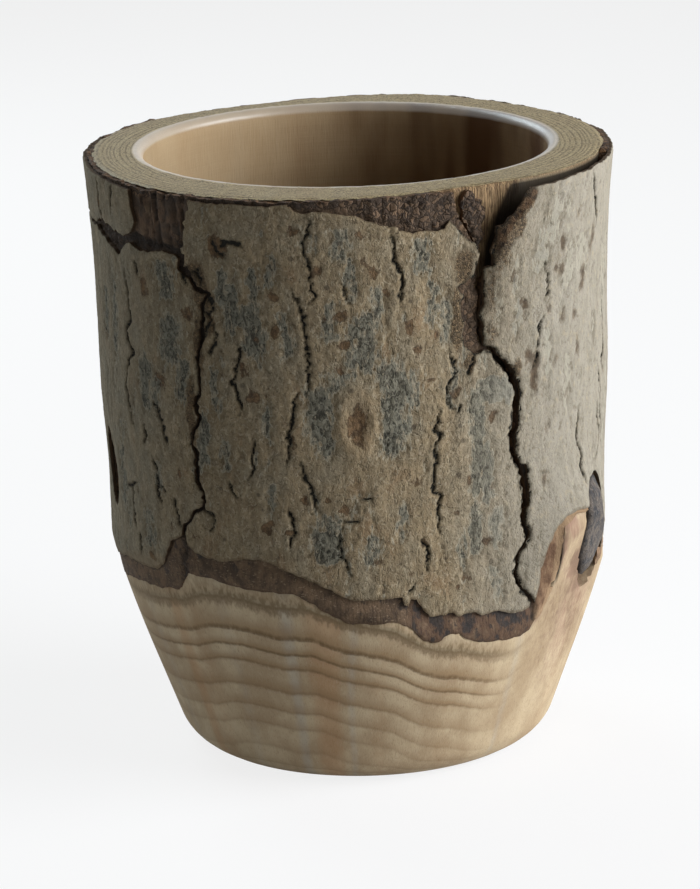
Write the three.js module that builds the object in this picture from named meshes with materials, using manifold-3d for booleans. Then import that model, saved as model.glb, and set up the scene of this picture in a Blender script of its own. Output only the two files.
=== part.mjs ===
// A small vase hollowed out of a piece of log. The bark stays on above a turned, tapered foot.
// Millimetres, +Z up, origin under the middle of the base. Angle 0 faces the front (-Y), +90 faces +X.
import * as THREE from "three";
import { mergeVertices } from "three/addons/utils/BufferGeometryUtils.js";
import Module from "manifold-3d";

// The log. It is drawn in over the waist and flares to the rim, from and to in per cent up the bark
const HEIGHT = 138.3;
const LOG_RADIUS = 57.2;
const WAIST_DRAW = 1.1;
const WAIST_FROM = 27;
const WAIST_TO = 52;
const RIM_FLARE = 1.9;
const FLARE_FROM = 63;
const OUTER_BARK = 1.1;
const INNER_BARK = 1.5;
const FIT_GAP = 0.3;

// The turned foot: two cones that meet at a shoulder cut into the log, and a rounded lower edge
const SHOULDER_HEIGHT = 34;
const SHOULDER_CUT = 3.8;
const SHOULDER_RADIUS = LOG_RADIUS - SHOULDER_CUT;
const FOOT_TAPER = 12.3;
const FOOT_RADIUS = SHOULDER_RADIUS - FOOT_TAPER;
const FOOT_EDGE_ROUND = 10;
const FOOT_OFFSET = 0.65;
const UPPER_CONE_SLOPE = 0.28;

// The hollow: the wall at the rim, bark included, and how far the hollow draws in at its floor
const WALL = 11.6;
const OPENING_RADIUS = LOG_RADIUS - WALL;
const OPENING_OFFSET_X = -0.9;
const OPENING_OFFSET_Y = 1.0;
const LIP_ROUND = 2;
const FLOOR_THICKNESS = 18;
const HOLLOW_TAPER = 9.6;
const HOLLOW_FLOOR_RADIUS = OPENING_RADIUS - HOLLOW_TAPER;
const HOLLOW_CORNER = 12;
const HOLLOW_CORNER_DRAFT = 2.4;
const HOLLOW_STRAIGHT_FROM = 58;

// How far the bark of the right side has lifted off the wood by the open crack, at the rim,
// between which angles, and from how many per cent up the bark
const BARK_LIFT = 3.4;
const LIFT_FROM = 24;
const LIFT_PEAK = 38;
const LIFT_TO = 78;
const LIFT_FROM_UP = 50;

// Facets round the girth and in an arc, and the levels of a natural wall in per cent up the bark
const GIRTH_STEPS = 72;
const ARC_STEPS = 3;
const WALL_LEVELS = [107, 100, 91, 79, 62, 45, 32, 24, 16, 8, -4];
const BELOW_BASE = -1;
const DEGREE = Math.PI / 180;

// Where the log swells or flattens round its girth: middle and half width in degrees, rise in mm
const GIRTH_LOBES = [
  { at: -35, half: 60, rise: 3.2 },
  { at: -98, half: 40, rise: 1.1 },
  { at: 24, half: 30, rise: -1.4 },
  { at: 67, half: 30, rise: 1.2 },
  { at: 163, half: 26, rise: 2.6 },
  { at: -153, half: 30, rise: -2.6 },
];

// Branch stubs: place in degrees and per cent of the way up the bark, half sizes and recess in mm
const RIGHT_KNOT = {
  at: 66,
  up: 19.5,
  halfWidth: 6.6,
  halfHeight: 12.5,
  lean: 0,
  recess: 1.4,
  depth: 8,
};
const LEFT_KNOT = {
  at: -75.5,
  up: 33,
  halfWidth: 5,
  halfHeight: 8.8,
  lean: -10,
  recess: 2.2,
  depth: 8,
};
// The log swells beside the lower branch stub
const COLLAR = { at: 57, up: 20, spread: 12.5, rise: 4.2 };
// A stub's width at its root as a share of its face, its worn dome, and the facets round it
const STUB_ROOT = 0.8;
const STUB_DOME = 0.8;
const STUB_CROWN = 0.8;
const STUB_CROWN_DROP = 0.24;
const STUB_STEPS = 24;

// Through cracks: [per cent up the bark, left edge, right edge], the edges in degrees
const MAIN_CRACK = [
  [106, 20, 39.5],
  [94, 21.5, 36],
  [88, 27.5, 32],
  [83.5, 28.4, 30.4],
  [81, 27, 29.6],
  [78.5, 24, 29.5],
  [68, 24.8, 29.9],
  [65, 27, 31.4],
  [59.5, 35.4, 37.6],
  [53.5, 38.1, 40.2],
  [44, 36.7, 39.3],
  [38.5, 38.6, 41.4],
  [32.5, 40.3, 42.8],
  [27, 39.9, 41.2],
  [23, 40.9, 42.1],
  [19, 37.8, 38.9],
  [14.5, 37.2, 38.1],
  [10.5, 39.2, 40.1],
  [6.5, 42.4, 43.3],
  [-14, 47, 48],
];
const LEFT_CRACK = [
  [92, -39.8, -36.6],
  [87, -38.2, -36.2],
  [83, -36, -34.6],
  [79.5, -32.2, -30.6],
  [74, -33.4, -32.2],
  [68, -33.9, -32.7],
  [65, -35.1, -34.1],
  [56, -35.7, -34.8],
  [50, -36.5, -35.4],
  [44, -36.6, -35.6],
  [38.5, -37.5, -36],
  [34.5, -35.8, -34.4],
  [32, -37, -36],
  [29, -39.9, -38.9],
  [25, -42, -41],
  [20, -42.3, -41.3],
  [-14, -43.5, -42.5],
];
const BACK_LEFT_CRACK = [
  [106, -127.4, -125.6],
  [82, -130.2, -128.8],
  [63, -127, -125.6],
  [44, -131.6, -130.2],
  [24, -128.8, -127.6],
  [-14, -130.6, -129.4],
];
const BACK_RIGHT_CRACK = [
  [106, 130.2, 132],
  [80, 126.4, 127.8],
  [61, 129.4, 130.8],
  [40, 125.6, 127],
  [23, 128.6, 129.8],
  [-14, 126.6, 127.8],
];
const FLAKE_CRACK = [
  [106, -97.4, -96],
  [96, -96.4, -95.2],
  [87, -97.8, -96],
];
// The inner bark parts along the same crack, and leaves a wider bare strip towards the rim
const INNER_CRACK = [
  [106, 22.6, 34],
  [84, 24, 33],
  [81.5, 29, 31.4],
  [67, 29.2, 31.2],
  [61, 33.6, 35.6],
  [53.5, 38.5, 40],
  [44, 37.6, 39],
  [38.5, 39.4, 40.8],
  [32.5, 40.9, 42.2],
  [27, 40.1, 41.1],
  [19, 37.9, 38.8],
  [14.5, 37.3, 38.1],
  [10.5, 39.3, 40.1],
  [6.5, 42.4, 43.3],
  [-14, 47, 48],
];

// Bark broken away below the rim: [degrees, per cent up the bark] along the edge that is left
const FRONT_TOP_EDGE = [
  [-13.6, 101],
  [-12.4, 98.5],
  [-5, 97.3],
  [2, 95.8],
  [5.5, 94],
  [9, 93],
  [13, 92],
  [20, 92],
  [24, 93],
];
const LEFT_TOP_EDGE = [
  [-51.8, 89.5],
  [-48, 88.5],
  [-43, 88.7],
  [-39, 87.6],
  [-35.4, 88.8],
];
const LIFTED_TOP_EDGE = [
  [30, 80],
  [45, 79],
  [60, 83],
  [70, 91],
  [79, 101],
];
// The level fissure under the upper left flake: [degrees, lower edge, upper edge], in per cent up the bark
const FISSURE = [
  [-97.6, 87.4, 89.6],
  [-88, 86.8, 89],
  [-80, 87.6, 89.4],
  [-72, 86.6, 90.4],
  [-64, 86.2, 91],
  [-57, 86.8, 90.2],
  [-50, 87.4, 89.6],
  [-42, 87.8, 89],
  [-37, 86.4, 88.4],
];
// A chip of inner bark that still stands on the bare strip: [per cent up the bark, left edge, right edge]
const CHIP = [
  [99, 25.4, 27.4],
  [95, 24.9, 28],
  [91, 25, 28.2],
  [88, 25.8, 27.6],
];

// Cutters reach this far past what they cut. Corners closer than the weld are one corner
const CUT_OVER = 5;
const CUT_ABOVE_RIM = 106;
const CUT_INWARDS = 14;
const CUT_OUTWARDS = 18;
const CUT_FROM = LOG_RADIUS - CUT_INWARDS;
const CUT_TO = LOG_RADIUS + CUT_OUTWARDS;
const SOCKET_REACH = 14;
const WELD = 1e-4;

const wasm = await Module();
wasm.setup();

// A height given in per cent of the way from the foot's shoulder to the rim
function upBark(percent) {
  return SHOULDER_HEIGHT + ((HEIGHT - SHOULDER_HEIGHT) * percent) / 100;
}

function place(angle, radius, height) {
  const turn = angle * DEGREE;
  return new THREE.Vector3(radius * Math.sin(turn), -radius * Math.cos(turn), height);
}

// The shortest turn from one angle to another, in degrees
function turnBetween(from, to) {
  return ((((to - from + 180) % 360) + 360) % 360) - 180;
}

function smooth(share) {
  const held = Math.min(Math.max(share, 0), 1);
  return held * held * (3 - 2 * held);
}

// The log's outside, bark included
function barkRadius(angle, height) {
  let radius = LOG_RADIUS;
  for (const lobe of GIRTH_LOBES) {
    const away = Math.abs(turnBetween(lobe.at, angle)) / lobe.half;
    if (away < 1) radius += lobe.rise * (0.5 + 0.5 * Math.cos(Math.PI * away));
  }
  const up = (100 * (height - SHOULDER_HEIGHT)) / (HEIGHT - SHOULDER_HEIGHT);
  radius -= WAIST_DRAW * (1 - smooth((up - WAIST_FROM) / (WAIST_TO - WAIST_FROM)));
  radius += RIM_FLARE * Math.max(0, (up - FLARE_FROM) / (100 - FLARE_FROM)) ** 2;
  const along = turnBetween(COLLAR.at, angle) * DEGREE * LOG_RADIUS;
  const off = Math.hypot(along, height - upBark(COLLAR.up)) / COLLAR.spread;
  return radius + COLLAR.rise * Math.exp(-off * off);
}

// The right side's bark has sprung away from the wood beside the open crack, most at the rim
function lift(angle, height) {
  const open = smooth((angle - LIFT_FROM) / (LIFT_PEAK - LIFT_FROM));
  const closed = 1 - smooth((angle - LIFT_PEAK) / (LIFT_TO - LIFT_PEAK));
  const start = upBark(LIFT_FROM_UP);
  const up = smooth((height - start) / (HEIGHT - start));
  return BARK_LIFT * open * closed * up;
}

function solidOf(geometry) {
  geometry.deleteAttribute("normal");
  geometry.deleteAttribute("uv");
  const merged = mergeVertices(geometry, WELD);
  return new wasm.Manifold(
    new wasm.Mesh({
      numProp: 3,
      vertProperties: merged.attributes.position.array,
      triVerts: new Uint32Array(merged.index.array),
    }),
  );
}

function indexedSolid(points, faces) {
  const geometry = new THREE.BufferGeometry().setFromPoints(points);
  geometry.setIndex(faces);
  return solidOf(geometry);
}

// Joins like sections into one closed skin, round a full ring or with a flat cap at each end
function loft(sections, isRing) {
  const size = sections[0].length;
  const faces = [];
  const joins = isRing ? sections.length : sections.length - 1;
  for (let i = 0; i < joins; i++) {
    const here = i * size;
    const next = ((i + 1) % sections.length) * size;
    for (let j = 0; j < size; j++) {
      const k = (j + 1) % size;
      // The diagonals are chosen so that nested walls and the log have parallel facets
      if (!isRing || j >= size / 2) {
        faces.push(here + j, next + j, here + k, next + j, next + k, here + k);
      } else {
        faces.push(here + j, next + j, next + k, here + j, next + k, here + k);
      }
    }
  }
  if (!isRing) {
    const last = (sections.length - 1) * size;
    for (let j = 1; j < size - 1; j++) {
      faces.push(0, j, j + 1, last, last + j + 1, last + j);
    }
  }
  return indexedSolid(sections.flat(), faces);
}

// A revolved solid from a profile of [radius, height] that starts and ends on the axis, going up
function revolve(profile, centreX, centreY) {
  const points = profile.map((p) => new THREE.Vector2(p.x, p.y));
  const geometry = new THREE.LatheGeometry(points, GIRTH_STEPS);
  geometry.rotateX(Math.PI / 2);
  geometry.translate(centreX, centreY, 0);
  return solidOf(geometry);
}

// A wall that follows the log all round, between two radii that are functions of angle and height
function logWall(outerAt, innerAt) {
  const heights = WALL_LEVELS.map(upBark).reverse();
  const sections = [];
  for (let i = 0; i < GIRTH_STEPS; i++) {
    const angle = (360 / GIRTH_STEPS) * i - 180;
    const outer = heights.map((h) => place(angle, outerAt(angle, h), h));
    const inner = heights.map((h) => place(angle, innerAt(angle, h), h)).reverse();
    sections.push([...outer, ...inner]);
  }
  return loft(sections, true);
}

// The whole log under its bark, from below the base to above the rim
function logCore(radiusAt) {
  const heights = [...WALL_LEVELS.map(upBark), BELOW_BASE];
  const rings = heights.map((h) => {
    const ring = [];
    for (let i = 0; i < GIRTH_STEPS; i++) {
      const angle = (360 / GIRTH_STEPS) * i - 180;
      ring.push(place(angle, radiusAt(angle, h), h));
    }
    return ring;
  });
  return loft(rings, false);
}

// What the lathe left: everything outside the turned foot and above the sawn rim is gone
function turnedEnvelope() {
  const clear = LOG_RADIUS + BARK_LIFT + COLLAR.rise + CUT_OVER;
  const coneTop = SHOULDER_HEIGHT + (clear - SHOULDER_RADIUS) / UPPER_CONE_SLOPE;
  const slope = Math.atan2(SHOULDER_RADIUS - FOOT_RADIUS, SHOULDER_HEIGHT);
  const reach = FOOT_EDGE_ROUND * Math.tan((Math.PI / 2 - slope) / 2);
  const centre = FOOT_RADIUS - reach;
  const outline = new THREE.Path();
  outline.moveTo(0, 0);
  outline.lineTo(centre, 0);
  outline.absarc(centre, FOOT_EDGE_ROUND, FOOT_EDGE_ROUND, -Math.PI / 2, -slope, false);
  outline.lineTo(SHOULDER_RADIUS, SHOULDER_HEIGHT);
  outline.lineTo(clear, coneTop);
  outline.lineTo(clear, HEIGHT);
  outline.lineTo(0, HEIGHT);
  return revolve(outline.getPoints(ARC_STEPS), FOOT_OFFSET, 0);
}

// The hollow, with a rounded floor corner and a lip that opens out at the rim
function hollow() {
  const over = HEIGHT + CUT_OVER;
  const outline = new THREE.Path();
  outline.moveTo(0, FLOOR_THICKNESS);
  outline.lineTo(HOLLOW_FLOOR_RADIUS - HOLLOW_CORNER, FLOOR_THICKNESS);
  outline.quadraticCurveTo(
    HOLLOW_FLOOR_RADIUS,
    FLOOR_THICKNESS,
    HOLLOW_FLOOR_RADIUS + HOLLOW_CORNER_DRAFT,
    FLOOR_THICKNESS + HOLLOW_CORNER,
  );
  outline.lineTo(OPENING_RADIUS, HOLLOW_STRAIGHT_FROM);
  outline.lineTo(OPENING_RADIUS, HEIGHT - LIP_ROUND);
  outline.absarc(
    OPENING_RADIUS + LIP_ROUND,
    HEIGHT - LIP_ROUND,
    LIP_ROUND,
    Math.PI,
    Math.PI / 2,
    true,
  );
  outline.lineTo(OPENING_RADIUS + LIP_ROUND, over);
  outline.lineTo(0, over);
  return revolve(outline.getPoints(ARC_STEPS), OPENING_OFFSET_X, OPENING_OFFSET_Y);
}

// A blade that cuts bark along an upright route
function uprightCut(route) {
  return loft(
    route.map(([up, left, right]) => [
      place(left, CUT_FROM, upBark(up)),
      place(left, CUT_TO, upBark(up)),
      place(right, CUT_TO, upBark(up)),
      place(right, CUT_FROM, upBark(up)),
    ]),
    false,
  );
}

// A blade that cuts bark along a level route
function levelCut(route) {
  return loft(
    route.map(([angle, low, high]) => [
      place(angle, CUT_TO, upBark(low)),
      place(angle, CUT_TO, upBark(high)),
      place(angle, CUT_FROM, upBark(high)),
      place(angle, CUT_FROM, upBark(low)),
    ]),
    false,
  );
}

// Takes away everything above a broken edge
function aboveEdge(edge) {
  return levelCut(edge.map(([angle, up]) => [angle, up, CUT_ABOVE_RIM]));
}

// An oval plug that narrows towards the pith: the branch stub, or with clearance the socket it sits in
function branchPlug(knot, clearance, outside) {
  const height = upBark(knot.up);
  const face = barkRadius(knot.at, height) - knot.recess;
  const length = knot.depth + outside;
  const width = (along) => STUB_ROOT + ((1 - STUB_ROOT) * along) / knot.depth;
  const dome = outside > 0 ? 0 : STUB_DOME;
  const drop = outside > 0 ? 0 : STUB_CROWN_DROP;
  const profile = [
    new THREE.Vector2(0, 0),
    new THREE.Vector2(width(0), 0),
    new THREE.Vector2(width(length - dome), length - dome),
    new THREE.Vector2(width(length) * STUB_CROWN, length - drop),
    new THREE.Vector2(0, length),
  ];
  const geometry = new THREE.LatheGeometry(profile, STUB_STEPS);
  geometry.scale(knot.halfWidth + clearance, 1, knot.halfHeight + clearance);
  geometry.rotateY(knot.lean * DEGREE);
  geometry.rotateX(Math.PI);
  geometry.translate(0, clearance + knot.depth - face, height);
  geometry.rotateZ(knot.at * DEGREE);
  return solidOf(geometry);
}

// The piece of a cut solid that holds a place on the log
function pieceAt(solid, angle, up) {
  const mark = place(angle, barkRadius(angle, upBark(up)), upBark(up));
  let best = null;
  let bestDistance = Infinity;
  for (const body of solid.decompose()) {
    const { vertProperties, numProp } = body.getMesh();
    for (let i = 0; i < vertProperties.length; i += numProp) {
      const corner = new THREE.Vector3().fromArray(vertProperties, i);
      const distance = corner.distanceTo(mark);
      if (distance < bestDistance) {
        bestDistance = distance;
        best = body;
      }
    }
  }
  return best;
}

function meshOf(name, solid, colour, roughness) {
  const { vertProperties, triVerts, numProp } = solid.getMesh();
  const positions = [];
  for (let i = 0; i < vertProperties.length; i += numProp) {
    positions.push(vertProperties[i], vertProperties[i + 1], vertProperties[i + 2]);
  }
  const geometry = new THREE.BufferGeometry();
  geometry.setAttribute("position", new THREE.Float32BufferAttribute(positions, 3));
  geometry.setIndex([...triVerts]);
  geometry.computeVertexNormals();
  const material = new THREE.MeshStandardMaterial({ color: colour, roughness, metalness: 0 });
  const mesh = new THREE.Mesh(geometry, material);
  mesh.name = name;
  return mesh;
}

// Radii of the layers, outside in
function outerBarkInside(angle, height) {
  return barkRadius(angle, height) - OUTER_BARK;
}
function innerBarkOutside(angle, height) {
  return outerBarkInside(angle, height) - FIT_GAP;
}
function innerBarkInside(angle, height) {
  return innerBarkOutside(angle, height) - INNER_BARK;
}
function woodRadius(angle, height) {
  return innerBarkInside(angle, height) - FIT_GAP;
}

const envelope = turnedEnvelope();
const rightSocket = branchPlug(RIGHT_KNOT, FIT_GAP, SOCKET_REACH);
const leftSocket = branchPlug(LEFT_KNOT, FIT_GAP, SOCKET_REACH);

function turnedLog() {
  return logCore(woodRadius)
    .intersect(envelope)
    .subtract(hollow())
    .subtract(rightSocket)
    .subtract(leftSocket);
}

function innerBarkLayer() {
  return logWall(innerBarkOutside, innerBarkInside)
    .intersect(envelope)
    .subtract(rightSocket)
    .subtract(leftSocket);
}

function innerBark() {
  const parted = innerBarkLayer()
    .subtract(uprightCut(INNER_CRACK))
    .subtract(aboveEdge(LIFTED_TOP_EDGE));
  return pieceAt(parted, 180, 50);
}

function innerBarkChip() {
  return pieceAt(innerBarkLayer().intersect(uprightCut(CHIP)), 26.5, 93);
}

function outerBark(liftAt) {
  const raised = (radiusAt) => (angle, height) =>
    radiusAt(angle, height) + liftAt(angle, height);
  return logWall(raised(barkRadius), raised(outerBarkInside))
    .intersect(envelope)
    .subtract(rightSocket)
    .subtract(leftSocket)
    .subtract(uprightCut(MAIN_CRACK))
    .subtract(uprightCut(LEFT_CRACK))
    .subtract(uprightCut(BACK_LEFT_CRACK))
    .subtract(uprightCut(BACK_RIGHT_CRACK))
    .subtract(uprightCut(FLAKE_CRACK))
    .subtract(levelCut(FISSURE))
    .subtract(aboveEdge(FRONT_TOP_EDGE))
    .subtract(aboveEdge(LEFT_TOP_EDGE));
}

const BARK = 0x8a8069;
const BARK_PALE = 0xa79d88;
const BAST = 0x54463a;
const WOOD = 0xc9ab7f;
const KNOT = 0x5d554c;

const wood = new THREE.Group();
wood.add(meshOf("turned_log", turnedLog(), WOOD, 0.7));
wood.add(
  meshOf("right_branch_knot", branchPlug(RIGHT_KNOT, 0, 0).intersect(envelope), KNOT, 0.85),
);
wood.add(meshOf("left_branch_knot", branchPlug(LEFT_KNOT, 0, 0), KNOT, 0.85));

const bast = new THREE.Group();
bast.add(meshOf("inner_bark", innerBark(), BAST, 0.95));
bast.add(meshOf("inner_bark_chip", innerBarkChip(), BAST, 0.95));

const fast = outerBark(() => 0);
const sprung = outerBark(lift);
const bark = new THREE.Group();
bark.add(meshOf("front_bark_plate", pieceAt(fast, 0, 50), BARK, 0.9));
bark.add(meshOf("right_bark_plate", pieceAt(sprung, 85, 50), BARK_PALE, 0.9));
bark.add(meshOf("back_bark_plate", pieceAt(fast, 180, 50), BARK, 0.9));
bark.add(meshOf("left_bark_plate", pieceAt(fast, -60, 50), BARK, 0.9));
bark.add(meshOf("upper_left_bark_flake", pieceAt(fast, -75, 96), BARK, 0.9));

const vase = new THREE.Group();
vase.add(wood, bast, bark);

export default vase;
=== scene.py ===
import math

import bpy
import numpy as np
from mathutils import Matrix, Vector


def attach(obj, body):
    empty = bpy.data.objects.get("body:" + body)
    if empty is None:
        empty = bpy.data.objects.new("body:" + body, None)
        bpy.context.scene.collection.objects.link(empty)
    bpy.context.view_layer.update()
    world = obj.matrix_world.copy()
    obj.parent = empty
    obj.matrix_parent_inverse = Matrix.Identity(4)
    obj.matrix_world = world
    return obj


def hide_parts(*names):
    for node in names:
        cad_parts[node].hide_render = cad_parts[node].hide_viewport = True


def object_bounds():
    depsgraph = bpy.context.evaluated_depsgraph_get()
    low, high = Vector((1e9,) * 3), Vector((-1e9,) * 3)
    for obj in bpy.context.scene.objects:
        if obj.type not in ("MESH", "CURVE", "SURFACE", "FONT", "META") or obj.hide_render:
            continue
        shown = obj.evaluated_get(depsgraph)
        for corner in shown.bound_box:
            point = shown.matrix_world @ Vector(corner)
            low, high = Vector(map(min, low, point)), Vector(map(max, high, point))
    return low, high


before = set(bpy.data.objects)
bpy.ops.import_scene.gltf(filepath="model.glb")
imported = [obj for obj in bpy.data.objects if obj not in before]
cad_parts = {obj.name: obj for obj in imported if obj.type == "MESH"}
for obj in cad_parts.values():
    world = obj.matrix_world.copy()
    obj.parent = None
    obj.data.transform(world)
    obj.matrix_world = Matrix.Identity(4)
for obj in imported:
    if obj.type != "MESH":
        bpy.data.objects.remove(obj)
cad_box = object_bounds()

# A small vase hollowed out of a piece of log: turned foot, cracked bark, sawn rim.
# Shapes are worked out in millimetres and degrees round the log. Angle 0 faces the front (-Y), 90 faces +X.
# One degree at the bark is very nearly one millimetre, so a (degrees, height) pair is also a place in mm.
METRE = 0.001

# Camera
FRAME_HEIGHT_PIXELS = 889
FOCAL_PIXELS = 4066.27
SENSOR = 36
CAMERA_PLACE = (0, -0.9, 0.3216)
CAMERA_AIM = (-0.0017, 0.0007, 0.0676)
CAMERA_ROLL = -1.6

# Light from all round, level and overhead
AMBIENT = (0.272, 0.276, 0.272)
AMBIENT_ABOVE = (0.05, 0.048, 0.044)
# The floor: how pale it is for the lamps' light and for the camera, and what share of it is plain white
FLOOR_BOUNCE = 0.56
FLOOR_SEEN = 0.9
FLOOR_WHITE = 0.82
FLOOR_REACH = 6
FLOOR_DROP = 0.0001
# The middle of the vase, which the lamps look at
LAMP_AIM = (0, 0, 0.07)

# The log
HEIGHT = cad_box[1].z / METRE
LOG_RADIUS = 57.2
WAIST_DRAW = 1.1
WAIST = (0.27, 0.52)
RIM_FLARE = 1.9
FLARE_FROM = 0.63
OUTER_BARK = 1.1
INNER_BARK = 1.8
SEAT = 0.08

# The turned foot
SHOULDER_HEIGHT = 34
SHOULDER_RADIUS = 53.4
FOOT_RADIUS = 41.1
FOOT_EDGE_ROUND = 10
FOOT_OFFSET = 0.65
UPPER_CONE_SLOPE = 0.28

# The hollow
OPENING_RADIUS = 45.6
OPENING_CENTRE = (-0.9, 1.0)
LIP_ROUND = 2
FLOOR_THICKNESS = 18
FLOOR_FLAT_RADIUS = 24
HOLLOW_FLOOR_RADIUS = 36
HOLLOW_CORNER = 12
HOLLOW_CORNER_DRAFT = 2.4
HOLLOW_STRAIGHT_FROM = 58

# The right side's bark has sprung off the wood beside the open crack, most at the rim
BARK_LIFT = 3.4
LIFT_ANGLES = (24, 38, 78)
LIFT_FROM_UP = 0.5

# Where the log swells or flattens round its girth: middle and half width in degrees, rise in mm
GIRTH_LOBES = (
    (-35, 60, 3.2),
    (-98, 40, 1.1),
    (24, 30, -1.4),
    (67, 30, 1.2),
    (163, 26, 2.6),
    (-153, 30, -2.6),
)
COLLAR = dict(at=57, height=54.9, spread=12.5, rise=4.2)

# Branch stubs, each in an oval socket
RIGHT_KNOT = dict(
    at=64.6, height=54.3, half_width=6.6, half_height=12.5, lean=0, recess=0.1, depth=8, slip=(0, 0.3),
)
LEFT_KNOT = dict(
    at=-75.5, height=68.4, half_width=5, half_height=8.8, lean=-10, recess=2.2, depth=8, slip=(0, 0),
)

# Lower edges of the two bark layers, where the lathe cut through them: (degrees, height)
OUTER_EDGE = (
    (-73, 48), (-68, 49.3), (-60, 49.6), (-52, 50.2), (-49, 52), (-47.8, 54), (-46.3, 56.5), (-45.3, 58.7),
    (-43.6, 59.3), (-41.4, 60.4), (-40, 58.5), (-38, 57.2), (-35, 56.5), (-31, 56.3), (-26, 57.3),
    (-22, 57.6), (-19, 56.5), (-16, 55.2), (-10.5, 53), (-8, 51.5), (-5, 50), (-1.5, 48.5), (5, 48.3),
    (9, 48.2), (9.6, 46.6), (10.6, 46.2), (11.2, 47.4), (12.5, 47.4), (13.3, 46), (14.5, 44.3), (16, 43),
    (19, 42.7), (21.5, 43), (22.6, 42), (25, 42.3), (27.5, 42.4), (29, 41.2), (33.5, 41.6), (36, 40.6),
    (40, 40.3), (41.8, 41), (43.5, 41.6), (44.5, 49), (45.2, 51.5), (46.5, 55), (47.6, 57.3), (49, 59),
    (51, 60.5), (54, 61.2), (58, 60.5), (60, 61.5), (61.5, 60), (64, 52), (68, 46.5), (71, 47.5),
    (74, 50.6), (82, 50.6),
)
INNER_EDGE = (
    (-75, 42.5), (-70, 43.5), (-65, 44.5), (-58, 45), (-50, 45.8), (-45, 47.2), (-43, 49), (-41.5, 51.4),
    (-33, 51.4), (-28, 50.3), (-20, 50), (-15, 49.9), (-12, 48.2), (-9, 46.5), (-6, 44.7), (-3, 43.2),
    (5, 42.7), (9, 42.3), (12, 40), (14, 38), (16, 36.5), (18, 36.6), (21, 38.3), (23, 38), (25, 36.5),
    (28, 35.2), (35, 34), (38, 34), (43.6, 34.7), (44.3, 37), (46.2, 38), (47.4, 41), (48.4, 45),
    (49.1, 52), (50.3, 58.2), (54, 60.4), (58, 59.8), (60, 60.8), (61.4, 59), (64, 50), (67, 44),
    (71, 43.4), (75.5, 45.4), (82, 45.4),
)
# Past the photographed side, the edges lie where these layers' depths meet the lathe's cut
EDGE_DEPTHS = (1.1, 2.6)
EDGE_BLEND = 12

# Top edge of the outer bark, a little below the sawn rim
TOP_EDGE = ((-180, 137.6), (-120, 137.4), (-97, 137.7), (-60, 137.2), (-17, 137), (-13, 137.4), (40, 137.3),
            (60, 137.7), (110, 137.4), (150, 137.8), (180, 137.6))

# Where outer bark has broken away and inner bark shows
LEFT_BARE = (
    (-51.4, 140), (-51.9, 134), (-51, 130), (-51.8, 127.5), (-51, 124), (-46, 124.6), (-42.6, 126.6),
    (-39.4, 126), (-37, 126.4), (-36.2, 129), (-35.6, 132), (-34.4, 135), (-34.8, 140),
)
FRONT_BARE = (
    (-13.4, 140), (-12.7, 137), (-10.2, 135.7), (-5.3, 135.5), (-0.4, 135), (1.8, 134), (3.5, 133),
    (5.3, 132.1), (9.2, 131.4), (10.1, 130.3), (12.4, 130), (16.6, 129.6), (20.5, 130), (21.5, 131.9),
    (23, 132), (23, 140),
)
# The level fissure under the upper left flake
FISSURE = (
    (-74.5, 125.6), (-71, 126.2), (-67.5, 128.2), (-65.5, 127.3), (-63, 127.6), (-60, 126.6), (-56, 125.9),
    (-52, 127.2), (-47, 126.8), (-42.6, 126.8), (-39.4, 126.1), (-36.4, 125.2), (-36.6, 123.2),
    (-38.4, 124.2), (-42.6, 125), (-46, 124.3), (-49, 123.6), (-52, 123.9), (-54.6, 124.9), (-57.2, 123),
    (-58.8, 121), (-61.6, 121.8), (-66, 123), (-70, 124.2), (-74.5, 124.9),
)
# The open crack through the bark on the right: its left and right edges, from the rim down
MAIN_CRACK_LEFT = (
    (22.4, 140), (21.8, 131.9), (23.3, 130.1), (24.7, 128.4), (26.1, 126.9), (27.9, 125.9), (28.6, 123),
    (27.4, 118.5), (23.6, 116.6), (25, 114.8), (24.4, 112.3), (25, 109.4), (24.8, 105.9), (25, 103),
    (27.5, 100.9), (29.8, 101.8), (31.4, 101), (32.8, 99.1), (34.6, 96.9), (36.4, 95.1), (37.6, 92.6),
    (38.1, 90.5), (37.6, 88), (37.3, 85.1), (36.6, 82.3), (37, 77.3), (37.6, 75.1), (39.5, 73.4),
    (39.9, 70), (40.6, 67), (40.3, 65), (39.8, 62.5), (40, 60.5), (40.5, 58.5), (41, 57), (39.8, 55),
    (37.8, 53.5), (37.2, 50), (37.3, 48.5), (39, 46.5), (40, 45), (41.5, 42.5), (43, 40.6), (43.2, 37),
)
MAIN_CRACK_RIGHT = (
    (39.4, 140), (39.2, 137.3), (37.8, 135), (37, 133.4), (35.6, 131.9), (33.9, 129.6), (32.1, 129),
    (31.8, 126.2), (31.2, 121.2), (29.3, 120.3), (29.6, 115.1), (29.8, 112.3), (28.6, 109.8), (29.3, 107.3),
    (29.8, 105.1), (30.1, 102.6), (32.1, 101.9), (33.5, 100.5), (35.6, 98), (37.8, 95.9), (39.2, 93.7),
    (39.6, 90.1), (38.7, 85.1), (38.6, 80.1), (38.6, 77.3), (39.6, 74.4), (41.2, 73.7), (41.9, 70),
    (42.2, 67), (41.9, 65), (41.2, 62.5), (41, 60.5), (42, 58.5), (41.7, 57), (40.6, 55), (38.8, 53.5),
    (38.1, 50), (38.5, 48.5), (40.1, 46.5), (40.8, 45), (42.4, 42.9), (43.8, 41), (44.2, 37),
)
CRACK_OPENING = (*MAIN_CRACK_LEFT, *reversed(MAIN_CRACK_RIGHT))
# The narrow part of that crack: its middle and half its spread, in degrees
NARROW_CRACK = (38, 12)
# Where the sprung right plate starts to cover the wood behind it, and the painted shade on that wood starts:
# (height, degrees)
COVERED_FROM = ((100, 30), (120, 30.6), (124, 31.2), (130, 33.6), (134, 35.6), (138.2, 38.4))
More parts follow.
